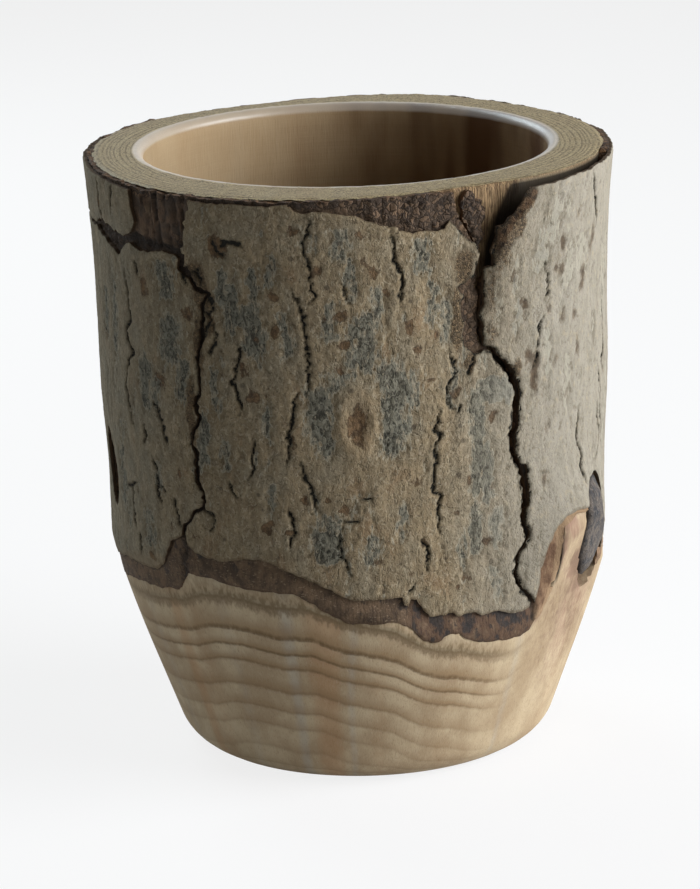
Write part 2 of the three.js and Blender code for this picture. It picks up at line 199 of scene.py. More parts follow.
# Bare wood inside that crack, where the inner bark is gone too
BARE_WOOD = (
    (22.6, 140), (23.2, 135.2), (24.2, 131.8), (26.6, 128.4), (28.2, 124.5), (28.7, 119), (28.8, 111),
    (28.9, 104), (31, 101.9), (33.6, 99.5), (36.4, 96.2), (38.6, 92.5), (38.6, 88), (38, 84), (37.6, 80),
    (38, 76.5), (39.6, 74), (41, 70), (41.5, 66), (40.7, 62.5), (40.4, 60.5), (41.2, 57.5), (39.9, 54.7),
    (38.2, 52.5), (37.7, 50), (38.1, 48), (40.4, 45.4), (40.8, 45.6), (38.5, 48.3), (38.2, 50),
    (38.8, 52.7), (40.5, 54.7), (41.8, 57.5), (41, 60.5), (41.6, 62.5), (42.4, 66), (41.9, 70),
    (40.4, 74.2), (38.8, 76.9), (38.6, 80), (38.9, 84), (39.6, 88), (39.4, 93), (37.4, 96.7), (34.6, 100),
    (32, 102.8), (30, 104.5), (29.6, 111), (30.2, 117.5), (34, 117), (45, 115.4), (60, 120), (70, 128.4),
    (79, 140),
)
# Splits in the bare inner bark at the upper left
BAST_SPLITS = (
    ((-43.9, 140), (-44.2, 133), (-43.6, 127)),
    ((-48.4, 136), (-47.6, 131), (-48.2, 127)),
    ((-39.4, 139), (-38.4, 133), (-37.6, 127)),
    ((-45.9, 135), (-46.3, 131.5), (-45.6, 128)),
    ((-41.6, 138), (-41, 135), (-41.8, 132)),
    ((-40.4, 131), (-40.9, 128.5), (-40.2, 126)),
    ((-36.4, 137), (-36.8, 133.5), (-36.1, 129)),
)
CHIP = (
    (27, 137.2), (25.2, 134.8), (25, 131.8), (27, 128.8), (28.5, 125.4), (29.6, 124.4), (30.5, 127.8),
    (30.9, 131.5), (29.7, 134.3), (28.4, 136.4),
)

# Cracks that part the plates: middle line from the rim down, and half width
LEFT_CRACK = (
    (-38.5, 127), (-37.4, 124.4), (-38, 121.9), (-35.2, 120.5), (-34.1, 118), (-30.9, 116.6),
    (-32.7, 113.7), (-33.1, 106.2), (-34.8, 102.3), (-34.1, 96.9), (-35.3, 91.9), (-34.3, 88.4),
    (-36.1, 85.9), (-36.8, 82.3), (-35.9, 80.1), (-36.5, 74), (-35, 71.5), (-34.8, 69.5), (-35.2, 68),
    (-36.5, 67.3), (-38.2, 66.5), (-38.8, 65), (-40, 63.5), (-41, 61.5), (-41.2, 58), (-42, 50), (-42, 26),
)
BACK_LEFT_CRACK = ((-126.5, 144), (-129.5, 119.5), (-126.3, 99.7), (-130.9, 79.9), (-128.2, 59), (-130, 19))
BACK_RIGHT_CRACK = ((131.1, 144), (127.1, 117.4), (130.1, 97.6), (126.3, 75.7), (129.2, 58), (127.2, 19))
FLAKE_CRACK = ((-96.7, 144), (-95.8, 134), (-96.9, 125.4))
FLAKE_FOOT = ((-97.4, 125.4), (-91, 124.6), (-85, 125.8), (-80, 125), (-74, 125.3))
PARTING_CRACKS = (
    (0.42, LEFT_CRACK),
    (0.7, LEFT_CRACK[1:6]),
    (0.4, BACK_LEFT_CRACK),
    (0.4, BACK_RIGHT_CRACK),
    (0.38, FLAKE_CRACK),
    (0.42, FLAKE_FOOT),
)
MAIN_CRACK_MIDDLE = (
    (30, 144), (30, 125), (28, 118), (27.5, 103), (30.5, 102), (33.2, 99.5), (35.6, 96.5), (38.5, 93),
    (38.5, 88), (37.8, 82), (38, 77), (39.8, 74), (41, 70), (41.7, 67), (41.5, 65), (40.6, 62.5),
    (40.5, 60.5), (41.3, 58.5), (41.3, 57), (40.1, 55), (38.3, 53.5), (37.6, 50), (37.9, 48.5),
    (39.5, 46.5), (40.4, 45), (42, 42.6), (43.6, 40), (43.6, 20),
)

# Cracks that run out in the bark: half width in mm, and points from end to end
BLIND_CRACKS = (
    (0.3, ((-32.7, 113.7), (-30.8, 110.9), (-33.1, 106.2))),
    (0.5, ((-36.2, 122.6), (-37, 120.8), (-36.4, 119.2), (-35.6, 118.2))),
    (0.44, ((-35, 121.2), (-33.4, 121.8), (-32.4, 120.2), (-32.6, 118.6))),
    (0.4, ((-31.4, 116.4), (-29.9, 114.6), (-30.4, 112.6), (-31.6, 111))),
    (0.3, ((-30.6, 110.4), (-29.6, 107.6), (-30.4, 104.8), (-31.6, 102.6))),
    (0.28, ((-35, 67.8), (-33.5, 67), (-32.3, 66.5), (-32.2, 65), (-32.7, 63.5), (-33.8, 62.5))),
    (0.34, ((-56.9, 120), (-56, 113), (-55.3, 107.3), (-57.8, 104.4), (-54.9, 99.8), (-57.4, 96.9),
            (-58.8, 91.6), (-57.1, 84.4), (-55.6, 81.9))),
    (0.26, ((-52.1, 121.2), (-50.7, 117.3))),
    (0.3, ((-48.2, 90.5), (-46.5, 88), (-45.4, 85.1), (-43.6, 80.1))),
    (0.3, ((-51.8, 84.1), (-51.1, 81.2), (-52.8, 79.4))),
    (0.3, ((-50.3, 77.6), (-48.9, 75.1), (-48.5, 72), (-49, 68.3), (-47.3, 66))),
    (0.22, ((-48.6, 71), (-46.5, 70), (-45.5, 69.5))),
    (0.24, ((-44, 69), (-43.2, 68), (-42.3, 65), (-42, 63.5), (-41.5, 62.5))),
    (0.24, ((-63, 67), (-58, 69))),
    (0.3, ((-59, 69), (-59.5, 66), (-60, 60), (-59, 58))),
    (0.24, ((-57.2, 58), (-57.2, 55), (-57.6, 52.5))),
    (0.26, ((-24.7, 106.9), (-24, 103.7), (-26.3, 98), (-24.9, 95.5), (-24.9, 90.1))),
    (0.2, ((-22.1, 85.1), (-22.4, 79.4), (-23.3, 75.5))),
    (0.26, ((-28, 75), (-27.7, 73), (-26.8, 71.7), (-25.8, 71.2))),
    (0.26, ((-8.1, 135.1), (-8.8, 131.2), (-10.2, 128.7), (-9.5, 125.5), (-8.8, 122.3), (-8.5, 118.7),
            (-7.6, 117.6), (-9.5, 115.1))),
    (0.24, ((-12.5, 119.1), (-10.6, 113), (-10.6, 109.4), (-9.7, 102.3), (-9.9, 95.1))),
    (0.34, ((-11.6, 96.2), (-12.7, 94.1), (-13.1, 90.5), (-14.5, 86.6), (-14.5, 79.4))),
    (0.36, ((-12.2, 80.1), (-11.6, 76.6), (-9.5, 72.6), (-9.2, 70), (-10.4, 68.2))),
    (0.24, ((-14.8, 70), (-14.3, 64.5), (-15, 60))),
    (0.22, ((-3.8, 65), (-4.6, 61), (-4.2, 59), (-3.3, 57.2), (-2, 54))),
    (0.16, ((-4, 66.3), (0, 66.5))),
    (0.14, ((0.5, 71.5), (3.5, 71.3))),
    (0.36, ((8.5, 131.2), (8.8, 127.6), (9, 124.4), (10.4, 120.1), (9.9, 116.6), (10.2, 113.7))),
    (0.32, ((21, 103.1), (22, 100.7), (23.3, 98), (21.4, 96), (20.7, 93.6), (20.9, 91.2), (21.8, 89.8),
            (23.1, 88.3))),
    (0.2, ((23.1, 88.3), (23.8, 90.4))),
    (0.36, ((18.8, 91.2), (18.1, 87.1), (17.6, 85.3), (18.7, 83.6), (17.7, 81.5), (17.9, 79.2), (17, 75),
            (17, 71.5), (18.8, 70), (18.3, 67.5), (18.3, 63.5), (18.8, 61.5))),
    (0.24, ((14.4, 61.5), (14.3, 60), (15.3, 59), (15.5, 57.5), (15, 56), (15.5, 53))),
    (0.22, ((12.3, 51.5), (11.5, 50), (10.8, 48.6))),
    (0.4, ((27.5, 100.9), (26.6, 98.6), (25.8, 96.6))),
    (0.24, ((43.9, 120.1), (45.7, 114.4), (45.5, 110.3))),
    (0.24, ((44.8, 108.4), (44.3, 105.1), (44.1, 102.3), (43.1, 95.5))),
    (0.28, ((58.4, 84), (57.6, 78), (57.5, 75.5), (58.8, 74), (59.3, 72), (58.5, 70), (58.7, 68),
            (60, 65.5))),
    (0.12, ((-2.1, 120.1), (-1.2, 115.1))),
    (0.4, ((60.2, 137.4), (60.6, 135.6), (61.8, 132), (62.9, 129.4), (64.2, 126.5), (63.6, 123.4))),
    (0.2, ((-58.8, 137.4), (-60.2, 133.7), (-60.6, 129.4))),
    (0.2, ((-67.4, 137), (-67.8, 131), (-67.2, 128))),
    (0.6, ((-29.5, 129.5), (-28.9, 127.9), (-28.3, 126.5), (-26.8, 125.3))),
    (0.5, ((-27.4, 127), (-26.5, 128.9), (-25.4, 128.7), (-23.6, 128.4), (-23, 127.6))),
)
# Further cracks round the sides and back, grown by the walk below: seed, count, and span of angles
WILD_CRACKS = ((11, 5, 66, 124), (12, 9, 134, 226), (13, 4, -124, -90))

# Grey skin that shows through in upright streaks: (degrees, top, bottom, half width), and a strength if not 1
GREY_STREAKS = (
    (-20.5, 117, 101, 1.9), (-17, 126, 119, 1.2), (-3, 131, 125, 2.2), (-5.5, 115, 108, 1.8),
    (-7.2, 98, 81, 2.8, 1.3), (8.2, 103, 80, 4.2, 1.3), (2.6, 113, 100, 4, 1.15), (-2, 99, 96, 5),
    (15, 128, 121, 2.4), (17, 118, 109, 1.7), (28.2, 93, 68, 1.9, 1.7), (32.6, 94, 91.5, 5, 1.7),
    (36.4, 95, 90, 1.3, 1.3), (31.2, 81, 67, 1.7, 1.6), (27.5, 67, 56, 2.2, 1.3), (34, 66, 57, 1.6),
    (32.5, 51, 45, 1.5), (45.6, 134, 124, 1.8), (57.2, 123, 116, 2.6), (-64, 119, 95, 1.7),
    (-52.5, 64, 56, 2.4), (-64.5, 78, 60, 1.8), (20.6, 115, 104, 1.3), (22.6, 99, 90, 1.2),
    (-1, 125, 116, 1.4), (4.5, 118, 111, 1.6), (-26.5, 119, 108, 1.3), (-14.2, 113, 103, 1.2),
    (12.5, 99, 92, 1.3), (-30, 100, 90, 1.3), (-28.6, 84, 78, 1.2), (-42, 111, 100, 3.2, 1.3),
    (-50.6, 100, 88, 2.2, 1.3), (-38.8, 101, 92, 1.6, 1.2), (-43.2, 122, 114, 2.6, 1.2),
    (-27.4, 122, 115, 1.3, 1.3), (-24.8, 118.5, 111, 1.4, 1.4), (-22, 114.5, 104, 1.6, 1.4),
    (-20.6, 123, 116, 1.2, 1.2), (-33.4, 90, 78, 1.5, 1.2), (-7.6, 63.4, 58.6, 2.6, 2.2),
    (2.6, 62, 58, 2.2), (-6.5, 66.5, 63.5, 3.2), (9, 69, 62, 1.4), (24, 60, 53, 1.1), (43, 128, 118, 1.9),
    (37.6, 112, 104, 1.4), (46.5, 104, 94, 1.5), (52.5, 122, 112, 1.8), (53, 97, 84, 1.4),
    (36.5, 121, 114, 1.1), (-70, 112, 100, 1.5), (-47.5, 76, 70, 1.5), (-18.6, 92, 84, 1),
    (-18.4, 75, 69, 1.1), (-47, 95, 90, 1.2),
)
# How far the bark is of the right side's pale kind, and how plain it is, round the log: (degrees, share)
PALE_SIDE = ((-180, 0.35), (-150, 0), (20, 0), (50, 1), (105, 1), (180, 0.35))
CALM_SIDE = ((-180, 0.4), (-85, 0.75), (-58, 0.65), (-38, 0.1), (20, 0), (50, 1), (105, 1), (180, 0.4))
# Brown spots, pores and scars: (degrees, height, half width, half height, strength)
SPOTS = (
    (0.2, 88.6, 1.9, 5, 1), (-16.6, 116.9, 1.4, 1.7, 0.8), (-16.6, 109.4, 1.4, 1.6, 0.8),
    (-2.5, 106.2, 1.9, 1.3, 0.9), (6.9, 117.3, 1.1, 1.6, 0.7), (11.7, 109.1, 1.5, 2.3, 0.85),
    (13.8, 103.7, 1.2, 2, 0.7), (-11.6, 131.6, 1.8, 1.6, 0.7), (2.8, 123.7, 1.3, 1.9, 0.6),
    (-3.2, 100.9, 1.3, 1, 0.7), (-48.9, 115.9, 1.7, 3, 0.75), (30.8, 58.3, 1.8, 1.3, 0.9),
    (25.7, 72.8, 1.2, 1.4, 0.8), (24.8, 50, 2.2, 1, 0.6), (23, 48.8, 1, 0.8, 0.7), (-20, 65, 1.5, 1.3, 1),
    (-18.5, 66.4, 1.1, 0.9, 0.8), (-2.8, 69, 1.5, 0.9, 0.8), (-12, 71.5, 1.6, 1.3, 0.75),
    (13, 74, 1.6, 1.2, 0.7), (14.5, 60, 1, 1.6, 0.7), (-52.5, 53.7, 1.3, 1.4, 0.9),
    (4.5, 57, 2.6, 1.2, 0.6), (18.6, 106.4, 1.2, 1.4, 0.7), (-13.4, 84.8, 1.1, 2, 0.6),
    (16.5, 96.5, 0.9, 1, 0.7), (32.8, 86.8, 1.2, 1.6, 0.95), (36, 118, 1.6, 2, 0.5),
    (-20.6, 108, 1, 1.3, 0.6), (-41, 75, 1.2, 1.4, 0.7), (-45, 62, 1, 1.4, 0.6), (22.8, 66, 1.1, 1, 0.6),
    (9.4, 66.5, 1.2, 0.9, 0.6), (48, 117.5, 1, 1.8, 0.7), (46.5, 108.6, 0.9, 1.6, 0.6),
    (55.5, 106, 1, 2.6, 0.7), (49.5, 97, 1, 2.2, 0.6), (58, 112, 0.9, 2.4, 0.55), (43.4, 92.4, 1.2, 2, 0.7),
    (53.5, 88, 1, 2.4, 0.6), (47, 82, 1, 1.8, 0.55), (46.5, 70, 1.1, 2, 0.5), (49.2, 122.7, 1.1, 2.2, 1.1),
    (49.8, 117.2, 0.9, 2.2, 0.8), (58.4, 113.6, 1.2, 4.2, 0.9), (51.4, 106.7, 0.8, 2.4, 0.8),
    (39.3, 111.1, 1.4, 1.2, 0.9), (43.2, 94.6, 1.1, 5, 1), (57.5, 98, 1, 3, 0.8), (62, 122, 1, 4, 0.8),
    (54.5, 129, 0.8, 1.4, 0.7), (41.8, 98.6, 1.6, 2.6, 0.8), (-28.3, 127.7, 1.8, 2.6, 1.4),
    (-7.4, 123.4, 1.6, 2, 0.75), (4.2, 121.8, 1.5, 1.8, 0.7), (-2.9, 112.6, 1.8, 1.6, 0.8),
    (-23.6, 100.2, 1.4, 2.4, 0.7), (-20.8, 94.4, 2.2, 2, 0.7), (-45.4, 95.2, 2, 2.4, 0.7),
    (-36.4, 111.9, 1.6, 2.6, 0.7), (23.2, 93.2, 1.6, 1.8, 0.7), (-6.3, 71.5, 1.2, 1, 0.7),
    (-15, 64.1, 1, 0.8, 0.8), (-36.9, 60.3, 1.6, 1.4, 0.6), (11.5, 54, 1.2, 1.2, 0.6),
    (-68, 131.5, 0.8, 1.6, 0.7), (-24.6, 131.5, 1.1, 1.2, 0.5), (-6.2, 111.5, 1.2, 1.5, 0.5),
    (1.2, 130.4, 1.3, 1.4, 0.5),
)
# The eye of a dormant bud: a tan ring round its brown middle, with grey bark drawn round it
EYE = dict(at=0.2, height=88.8, half_width=4.6, half_height=9.4)
# Bark crushed to tan and brown grains along the open crack: (degrees, height, half width, half height)
CRUMBLED = (
    (32.8, 124.5, 2.8, 6, 0.8), (31.2, 115, 1.8, 8, 0.6), (25.2, 121, 2.4, 4.5), (23.6, 109, 1.6, 8.5),
    (31.5, 106, 1.6, 5.5, 0.6), (37.8, 134.5, 2, 3.4, 1.5), (36, 130, 2, 3.2, 1.5),
    (33.4, 126.6, 2.2, 3, 1.2), (-34.4, 121.5, 2.4, 2.8), (-32.2, 116, 2.4, 3.4), (-33, 118, 1.9, 5),
    (-34, 104, 1.4, 8), (-31, 110.5, 1.2, 3), (-36.5, 90, 1.3, 9), (26.6, 99.5, 1.8, 2.2),
    (38.4, 96.5, 1.3, 2.6),
)

# The broken edge right of the crack's wide top: where it is, how far it reaches in, how thick its layers are
BROKEN_FROM = (30, 121)
BROKEN_WIDTH = 1.9
LAYER_STEP = 0.3

# Rings on the foot as the taper meets them: depth under the inner bark in mm, and the drift of that depth
RING_DEPTHS = (-2, 0, 2.35, 3.6, 4.85, 7.1, 9, 10.6, 12.9, 15, 17.4, 40)
RING_DRIFT = (
    (-180, 0.2), (-110, 0.1), (-75, 0.6), (-55, 1.1), (-45, 1.1), (-38, 0.5), (-30, 0.2), (-20, 0.1),
    (-12, -0.6), (-5, -0.4), (0, -0.7), (8, -1.2), (15, -0.8), (24, -0.7), (29, -0.1), (35, 0.8), (40, 1.7),
    (48, 2.4), (60, 2), (85, 0.4), (140, 0), (180, 0.2),
)
CAMBIUM_DEPTH = 2.2
# Washed-out and rusty upright bands on the foot: (degrees, half width, tint from -1 cool to 1 warm)
FOOT_BANDS = (
    (-62, 4, -0.5), (-50, 2.2, 0.9), (-44, 4, 0.4), (-34, 3, -0.5), (-27, 3.5, 0.2), (-18, 2.2, -1),
    (-10, 5, 0.9), (-3.5, 1.7, -0.9), (4, 3, 0.35), (15, 3, -0.3), (22, 4, 0.25), (34, 3, 0.2),
    (41, 1.6, -0.6), (47, 4, -0.2), (55, 3.5, -0.3), (64, 4, 0.3), (78, 5, 0.2), (95, 4, -0.4),
    (112, 6, 0.5), (131, 4, -0.6), (150, 6, 0.4), (171, 4, -0.4), (-166, 5, 0.5), (-146, 4, -0.5),
    (-125, 6, 0.4), (-103, 4, -0.5), (-84, 5, 0.4),
)

# A blind crack's width as a share of what is written beside its line, and how far it strays from that line
CRACK_WIDTH = 0.5
CRACK_JITTER = 0.55

# Heights and depths of the outer bark's relief, in mm
SWELL_RISE = 0.32
RIDGE_RISE = 0.12
STRAND_RISE = 0.06
FLAKE_RISE = 0.1
WRINKLE_DEPTH = 0.8
CRUMB_RISE = 0.5
CRACK_LIP = 0.06
CRACK_DIP = 0.2
CRACK_DEPTH = 0.5
GREY_DIP = 0.16
SPOT_DIP = 0.3
EYE_RISE = 0.4
EDGE_DIP = 0.2
TOP_WEAR = 0.25
# How the right plate's edge bulges beside the crack's wide top: degrees, half width, rise in mm
PLATE_BULGE = (33, 4, 0.7)
# The inner bark: its fibres, its pebbles and its slits, in mm
FIBRE_RISE = 0.45
PEBBLE_RISE = 1.1
SLIT_DEPTH = 0.8
CHIP_THICKNESS = 1.1
CHIP_ROUGHNESS = 1.3

# Stained wood beside the right knot: (degrees, height, half width, half height)
STAINS = (
    (60, 38, 15, 24, 0.58), (46, 51, 1.9, 7, 1), (44.6, 40, 2.4, 5, 0.8), (53, 57, 4, 4, 0.7),
    (61, 42.5, 5.5, 3.2, 1.2), (56.5, 48, 3.4, 5, 1.1), (50, 59.5, 3.4, 2.6, 1.3), (49.5, 53, 1.7, 6, 0.9),
    (66, 48, 3, 5, 1.1), (70, 46, 4, 3, 0.6), (40, 35.5, 3, 2.2, 0.5), (63, 39, 7, 1.6, 0.5),
    (50, 47, 1, 5, 0.35),
)
# Where the growth lines on the foot show, as a share: (degrees, strength)
RING_STRENGTH = (
    (-180, 0.8), (-75, 0.5), (-58, 0.8), (-30, 1), (24, 1), (33, 0.7), (39, 0.25), (46, 0.08), (84, 0.1),
    (110, 0.7), (180, 0.8),
)

# Distance between the small dark dots on the bark
DOT_SPACING = 4.2

# How finely the log's sawn rim and its lip are drawn, in rings
RIM_STEPS = 13
LIP_STEPS = 5

# How far from a line its distance is worked out, and over what step a slope is
REACH = 3.0
SLOPE_STEP = 0.06
# Loose patches of fewer faces than this are dropped
SMALLEST_PATCH = 60

# Fixed numbers that the noise's random values are mixed with
PRIMES = (73856093, 19349663, 83492791)
STIR = 0x45D9F3B
KEEP_32_BITS = 0xFFFFFFFF
SEED_STEP = 7919


# Sums on arrays

def smooth(share):
    """Eases a share in and out, and holds it between 0 and 1."""
    held = np.clip(share, 0, 1)
    return held * held * (3 - 2 * held)


def bell(distance):
    """1 in the middle, falling off evenly to both sides."""
    return np.exp(-np.square(distance))


def turn_between(start, end):
    """Degrees from start to end the short way round, from -180 to 180."""
    return (end - start + 180) % 360 - 180


def soft_least(first, second, blend):
    """The smaller of two arrays, rounded where they cross."""
    share = np.clip(0.5 + 0.5 * (second - first) / blend, 0, 1)
    return second + (first - second) * share - blend * share * (1 - share)


def place(angle, radius, height):
    """The place in space of an angle, a radius and a height."""
    turn = np.radians(angle)
    return np.stack([radius * np.sin(turn), -radius * np.cos(turn), height + 0 * turn], axis=-1)


def around(spots):
    """The place in space of each (angle, height), on a plain cylinder as wide as the log."""
    return place(spots[:, 0], LOG_RADIUS + 0 * spots[:, 0], spots[:, 1])


def lattice(cells, seed):
    """A fixed random value from -1 to 1 for each whole-numbered cell."""
    mixed = np.full(cells.shape[:-1], (seed + 1) * SEED_STEP, np.int64)
    for axis, prime in enumerate(PRIMES):
        mixed ^= cells[..., axis] * prime
    mixed &= KEEP_32_BITS
    for _ in range(2):
        mixed = (((mixed >> 16) ^ mixed) * STIR) & KEEP_32_BITS
    return ((mixed >> 16) ^ mixed) / (KEEP_32_BITS / 2) - 1


def noise(points, seed):
    """Smooth noise from -1 to 1 whose features are one unit across."""
    cells = np.floor(points).astype(np.int64)
    part = smooth(points - cells)
    total = np.zeros(len(points))
    for corner in np.ndindex(2, 2, 2):
        weight = np.prod(np.where(corner, part, 1 - part), axis=1)
        total += weight * lattice(cells + corner, seed)
    return total


def fractal(points, size, seed, octaves=3, rough=0.5):
    """Noise in layers, about -1 to 1, whose largest features are `size` mm across."""
    scaled = points / np.asarray(size, float)
    total = np.zeros(len(points))
    strength = 1
    whole = 0
    for octave in range(octaves):
        total += strength * noise(scaled, seed + octave)
        whole += strength
        strength *= rough
        scaled = scaled * 2.03 + 17.3
    return total / whole


def grains(points, size, seed):
    """Rounded crumbs: 1 in the middle of one, 0 at its border."""
    scaled = points / np.asarray(size, float)
    cells = np.floor(scaled).astype(np.int64)
    nearest = np.full(len(points), REACH)
    second = nearest.copy()
    for step in np.ndindex(3, 3, 3):
        near = cells + step - np.ones(3, np.int64)
        spot = near + 0.5 + 0.45 * np.stack([lattice(near, seed + axis) for axis in range(3)], axis=1)
        distance = np.linalg.norm(scaled - spot, axis=1)
        second = np.where(distance < nearest, nearest, np.minimum(second, distance))
        nearest = np.minimum(nearest, distance)
    return np.clip(second - nearest, 0, 1)


def ragged(spots, amount=1.0):
    """Shakes places on the bark, so that a drawn line comes out torn."""
    points = around(spots)
    moved = spots.copy()
    for axis in range(2):
        moved[:, axis] += amount * 0.75 * fractal(points, 2.7, 40 + 9 * axis, 2)
        moved[:, axis] += amount * 0.3 * fractal(points, 0.95, 60 + 9 * axis, 1)
    return moved


def line_distance(spots, line, reach=REACH):
    """How far each spot is from a bent line, at most `reach`, and how far along it its nearest place is."""
    line = np.asarray(line, float)
    lengths = np.linalg.norm(np.diff(line, axis=0), axis=1)
    starts = np.concatenate([[0], np.cumsum(lengths)])
    distance = np.full(len(spots), float(reach))
    along = np.zeros(len(spots))
    for start, end, length, run in zip(line[:-1], line[1:], lengths, starts):
        low = np.minimum(start, end) - reach
        high = np.maximum(start, end) + reach
        near = np.flatnonzero(((spots > low) & (spots < high)).all(axis=1))
        if len(near) == 0:
            continue
        offset = spots[near] - start
        way = end - start
        share = np.clip(offset @ way / length**2, 0, 1)
        gap = np.linalg.norm(offset - share[:, None] * way, axis=1)
        closer = gap < distance[near]
        distance[near[closer]] = gap[closer]
        along[near[closer]] = (run + share[closer] * length) / starts[-1]
    return distance, along


def inside(spots, outline):
    """Which spots lie within a closed outline."""
    result = np.zeros(len(spots), bool)
    ends = np.roll(np.asarray(outline, float), -1, axis=0)
    for (start_angle, start_height), (end_angle, end_height) in zip(outline, ends):
        if start_height == end_height:
            continue
        share = (spots[:, 1] - start_height) / (end_height - start_height)
        crossed = (start_height > spots[:, 1]) != (end_height > spots[:, 1])
        result ^= crossed & (spots[:, 0] < start_angle + share * (end_angle - start_angle))
    return result


def outside_by(spots, outline, reach=REACH):
    """Distance to a closed outline, positive outside it and negative inside."""
    distance, _ = line_distance(spots, [*outline, outline[0]], reach)
    return np.where(inside(spots, outline), -distance, distance)


def along_line(line, value, axis=0):
    """The height at an angle on a line of (angle, height) points, or with axis 1 the angle at a height."""
    line = np.asarray(line, float)
    order = np.argsort(line[:, axis], kind="stable")
    return np.interp(value, line[order, axis], line[order, 1 - axis])


# The log and its layers, as radii at an angle and height

def bark_radius(angle, height):
    """The bark's face before any relief: a log that swells and flattens round its girth."""
    radius = LOG_RADIUS + 0 * angle
    for at, half, rise in GIRTH_LOBES:
        away = np.clip(np.abs(turn_between(at, angle)) / half, 0, 1)
        radius = radius + rise * (0.5 + 0.5 * np.cos(np.pi * away))
    up = (height - SHOULDER_HEIGHT) / (HEIGHT - SHOULDER_HEIGHT)
    radius = radius - WAIST_DRAW * (1 - smooth((up - WAIST[0]) / (WAIST[1] - WAIST[0])))
    radius = radius + RIM_FLARE * np.maximum(0, (up - FLARE_FROM) / (1 - FLARE_FROM)) ** 2
    off = np.hypot(turn_between(COLLAR["at"], angle), height - COLLAR["height"]) / COLLAR["spread"]
    return radius + COLLAR["rise"] * bell(off)


def turned_radius(angle, height):
    """Where the lathe cut: a rounded lower edge, the foot's cone, and a steeper one through the bark."""
    slope = math.atan2(SHOULDER_RADIUS - FOOT_RADIUS, SHOULDER_HEIGHT)
    centre = FOOT_RADIUS - FOOT_EDGE_ROUND * math.tan((math.pi / 2 - slope) / 2)
    drop = np.clip(FOOT_EDGE_ROUND - height, 0, FOOT_EDGE_ROUND)
    rounded = centre + np.sqrt(FOOT_EDGE_ROUND**2 - drop**2)
    lower = FOOT_RADIUS + (SHOULDER_RADIUS - FOOT_RADIUS) * height / SHOULDER_HEIGHT
    upper = SHOULDER_RADIUS + UPPER_CONE_SLOPE * (height - SHOULDER_HEIGHT)
    below = FOOT_EDGE_ROUND * (1 - math.sin(slope))
    cone = np.where(height < below, rounded, lower)
    return soft_least(cone, upper, 0.9) + FOOT_OFFSET * np.sin(np.radians(angle))


def natural_edge(angle, depth):
    """The height at which the lathe meets a layer that lies `depth` under the bark's face."""
    spare = bark_radius(angle, SHOULDER_HEIGHT + 0 * angle) - depth - SHOULDER_RADIUS
    spare = spare - FOOT_OFFSET * np.sin(np.radians(angle))
    slope = (SHOULDER_RADIUS - FOOT_RADIUS) / SHOULDER_HEIGHT
    return SHOULDER_HEIGHT + np.where(spare > 0, spare / UPPER_CONE_SLOPE, spare / slope)


def layer_edge(angle, edge, depth, seed):
    """A bark layer's lower edge all round: as drawn at the front, and as the log's shape gives it behind."""
    angle = turn_between(0, angle)
    spots = np.stack([angle, 0 * angle], axis=1)
    behind = natural_edge(angle, depth) + 1.3 * fractal(around(spots), 9, seed, 3)
    from_left = smooth((angle - edge[0][0] + EDGE_BLEND) / EDGE_BLEND)
    from_right = smooth((edge[-1][0] + EDGE_BLEND - angle) / EDGE_BLEND)
    return behind + (along_line(edge, angle) - behind) * (from_left * from_right)


def outer_edge(angle):
    return layer_edge(angle, OUTER_EDGE, EDGE_DEPTHS[0], 70)


def inner_edge(angle):
    return np.minimum(layer_edge(angle, INNER_EDGE, EDGE_DEPTHS[1], 75), outer_edge(angle) - 0.4)


def bast_face(angle, height):
    """Outside of the inner bark: under the outer bark, or sanded with the foot below it."""
    low = inner_edge(angle)
    share = smooth((height - low) / (outer_edge(angle) - low))
    flush = np.minimum(turned_radius(angle, height) + 0.1, bark_radius(angle, height) - 0.4)
    covered = np.minimum(bark_radius(angle, height) - OUTER_BARK - SEAT, flush - 0.34)
    return flush + (covered - flush) * share


def bast_back(angle, height):
    """Back of the inner bark, which thins out to a feather edge on the foot."""
    depth = np.clip(0.14 + 0.5 * (height - inner_edge(angle)), 0.14, INNER_BARK)
    return bast_face(angle, height) - depth


def wood_face(angle, height):
    """Outside of the wood: just under the inner bark, and turned below it."""
    share = smooth((height - inner_edge(angle) + 0.3) / 0.6)
    turned = np.minimum(turned_radius(angle, height), bark_radius(angle, height) - 0.5)
    under = np.minimum(bast_back(angle, height) - 0.03, turned)
    return turned + (under - turned) * share


def lift(angle, height):
    """How far the bark has sprung off the wood beside the open crack."""
    low, peak, high = LIFT_ANGLES
    open_side = smooth((angle - low) / (peak - low)) * (1 - smooth((angle - peak) / (high - peak)))
    start = SHOULDER_HEIGHT + LIFT_FROM_UP * (HEIGHT - SHOULDER_HEIGHT)
    return BARK_LIFT * open_side * smooth((height - start) / (HEIGHT - start))


def oval_margin(spots, knot, grow=0.3):
    """Distance outside a branch stub's socket, in mm, near its edge."""
    lean = math.radians(knot["lean"])
    across = turn_between(knot["at"], spots[:, 0])
    up = spots[:, 1] - knot["height"]
    side = (across * math.cos(lean) - up * math.sin(lean)) / (knot["half_width"] + grow)
    tall = (across * math.sin(lean) + up * math.cos(lean)) / (knot["half_height"] + grow)
    return (np.hypot(side, tall) - 1) * knot["half_width"]


# Relief on the bark

def turned_to(line, middle):
    """The same line, turned by whole turns so that it starts within half a turn of `middle`."""
    start = line[0][0]
    shift = middle + turn_between(middle, start) - start
    return [(angle + shift, height) for angle, height in line]


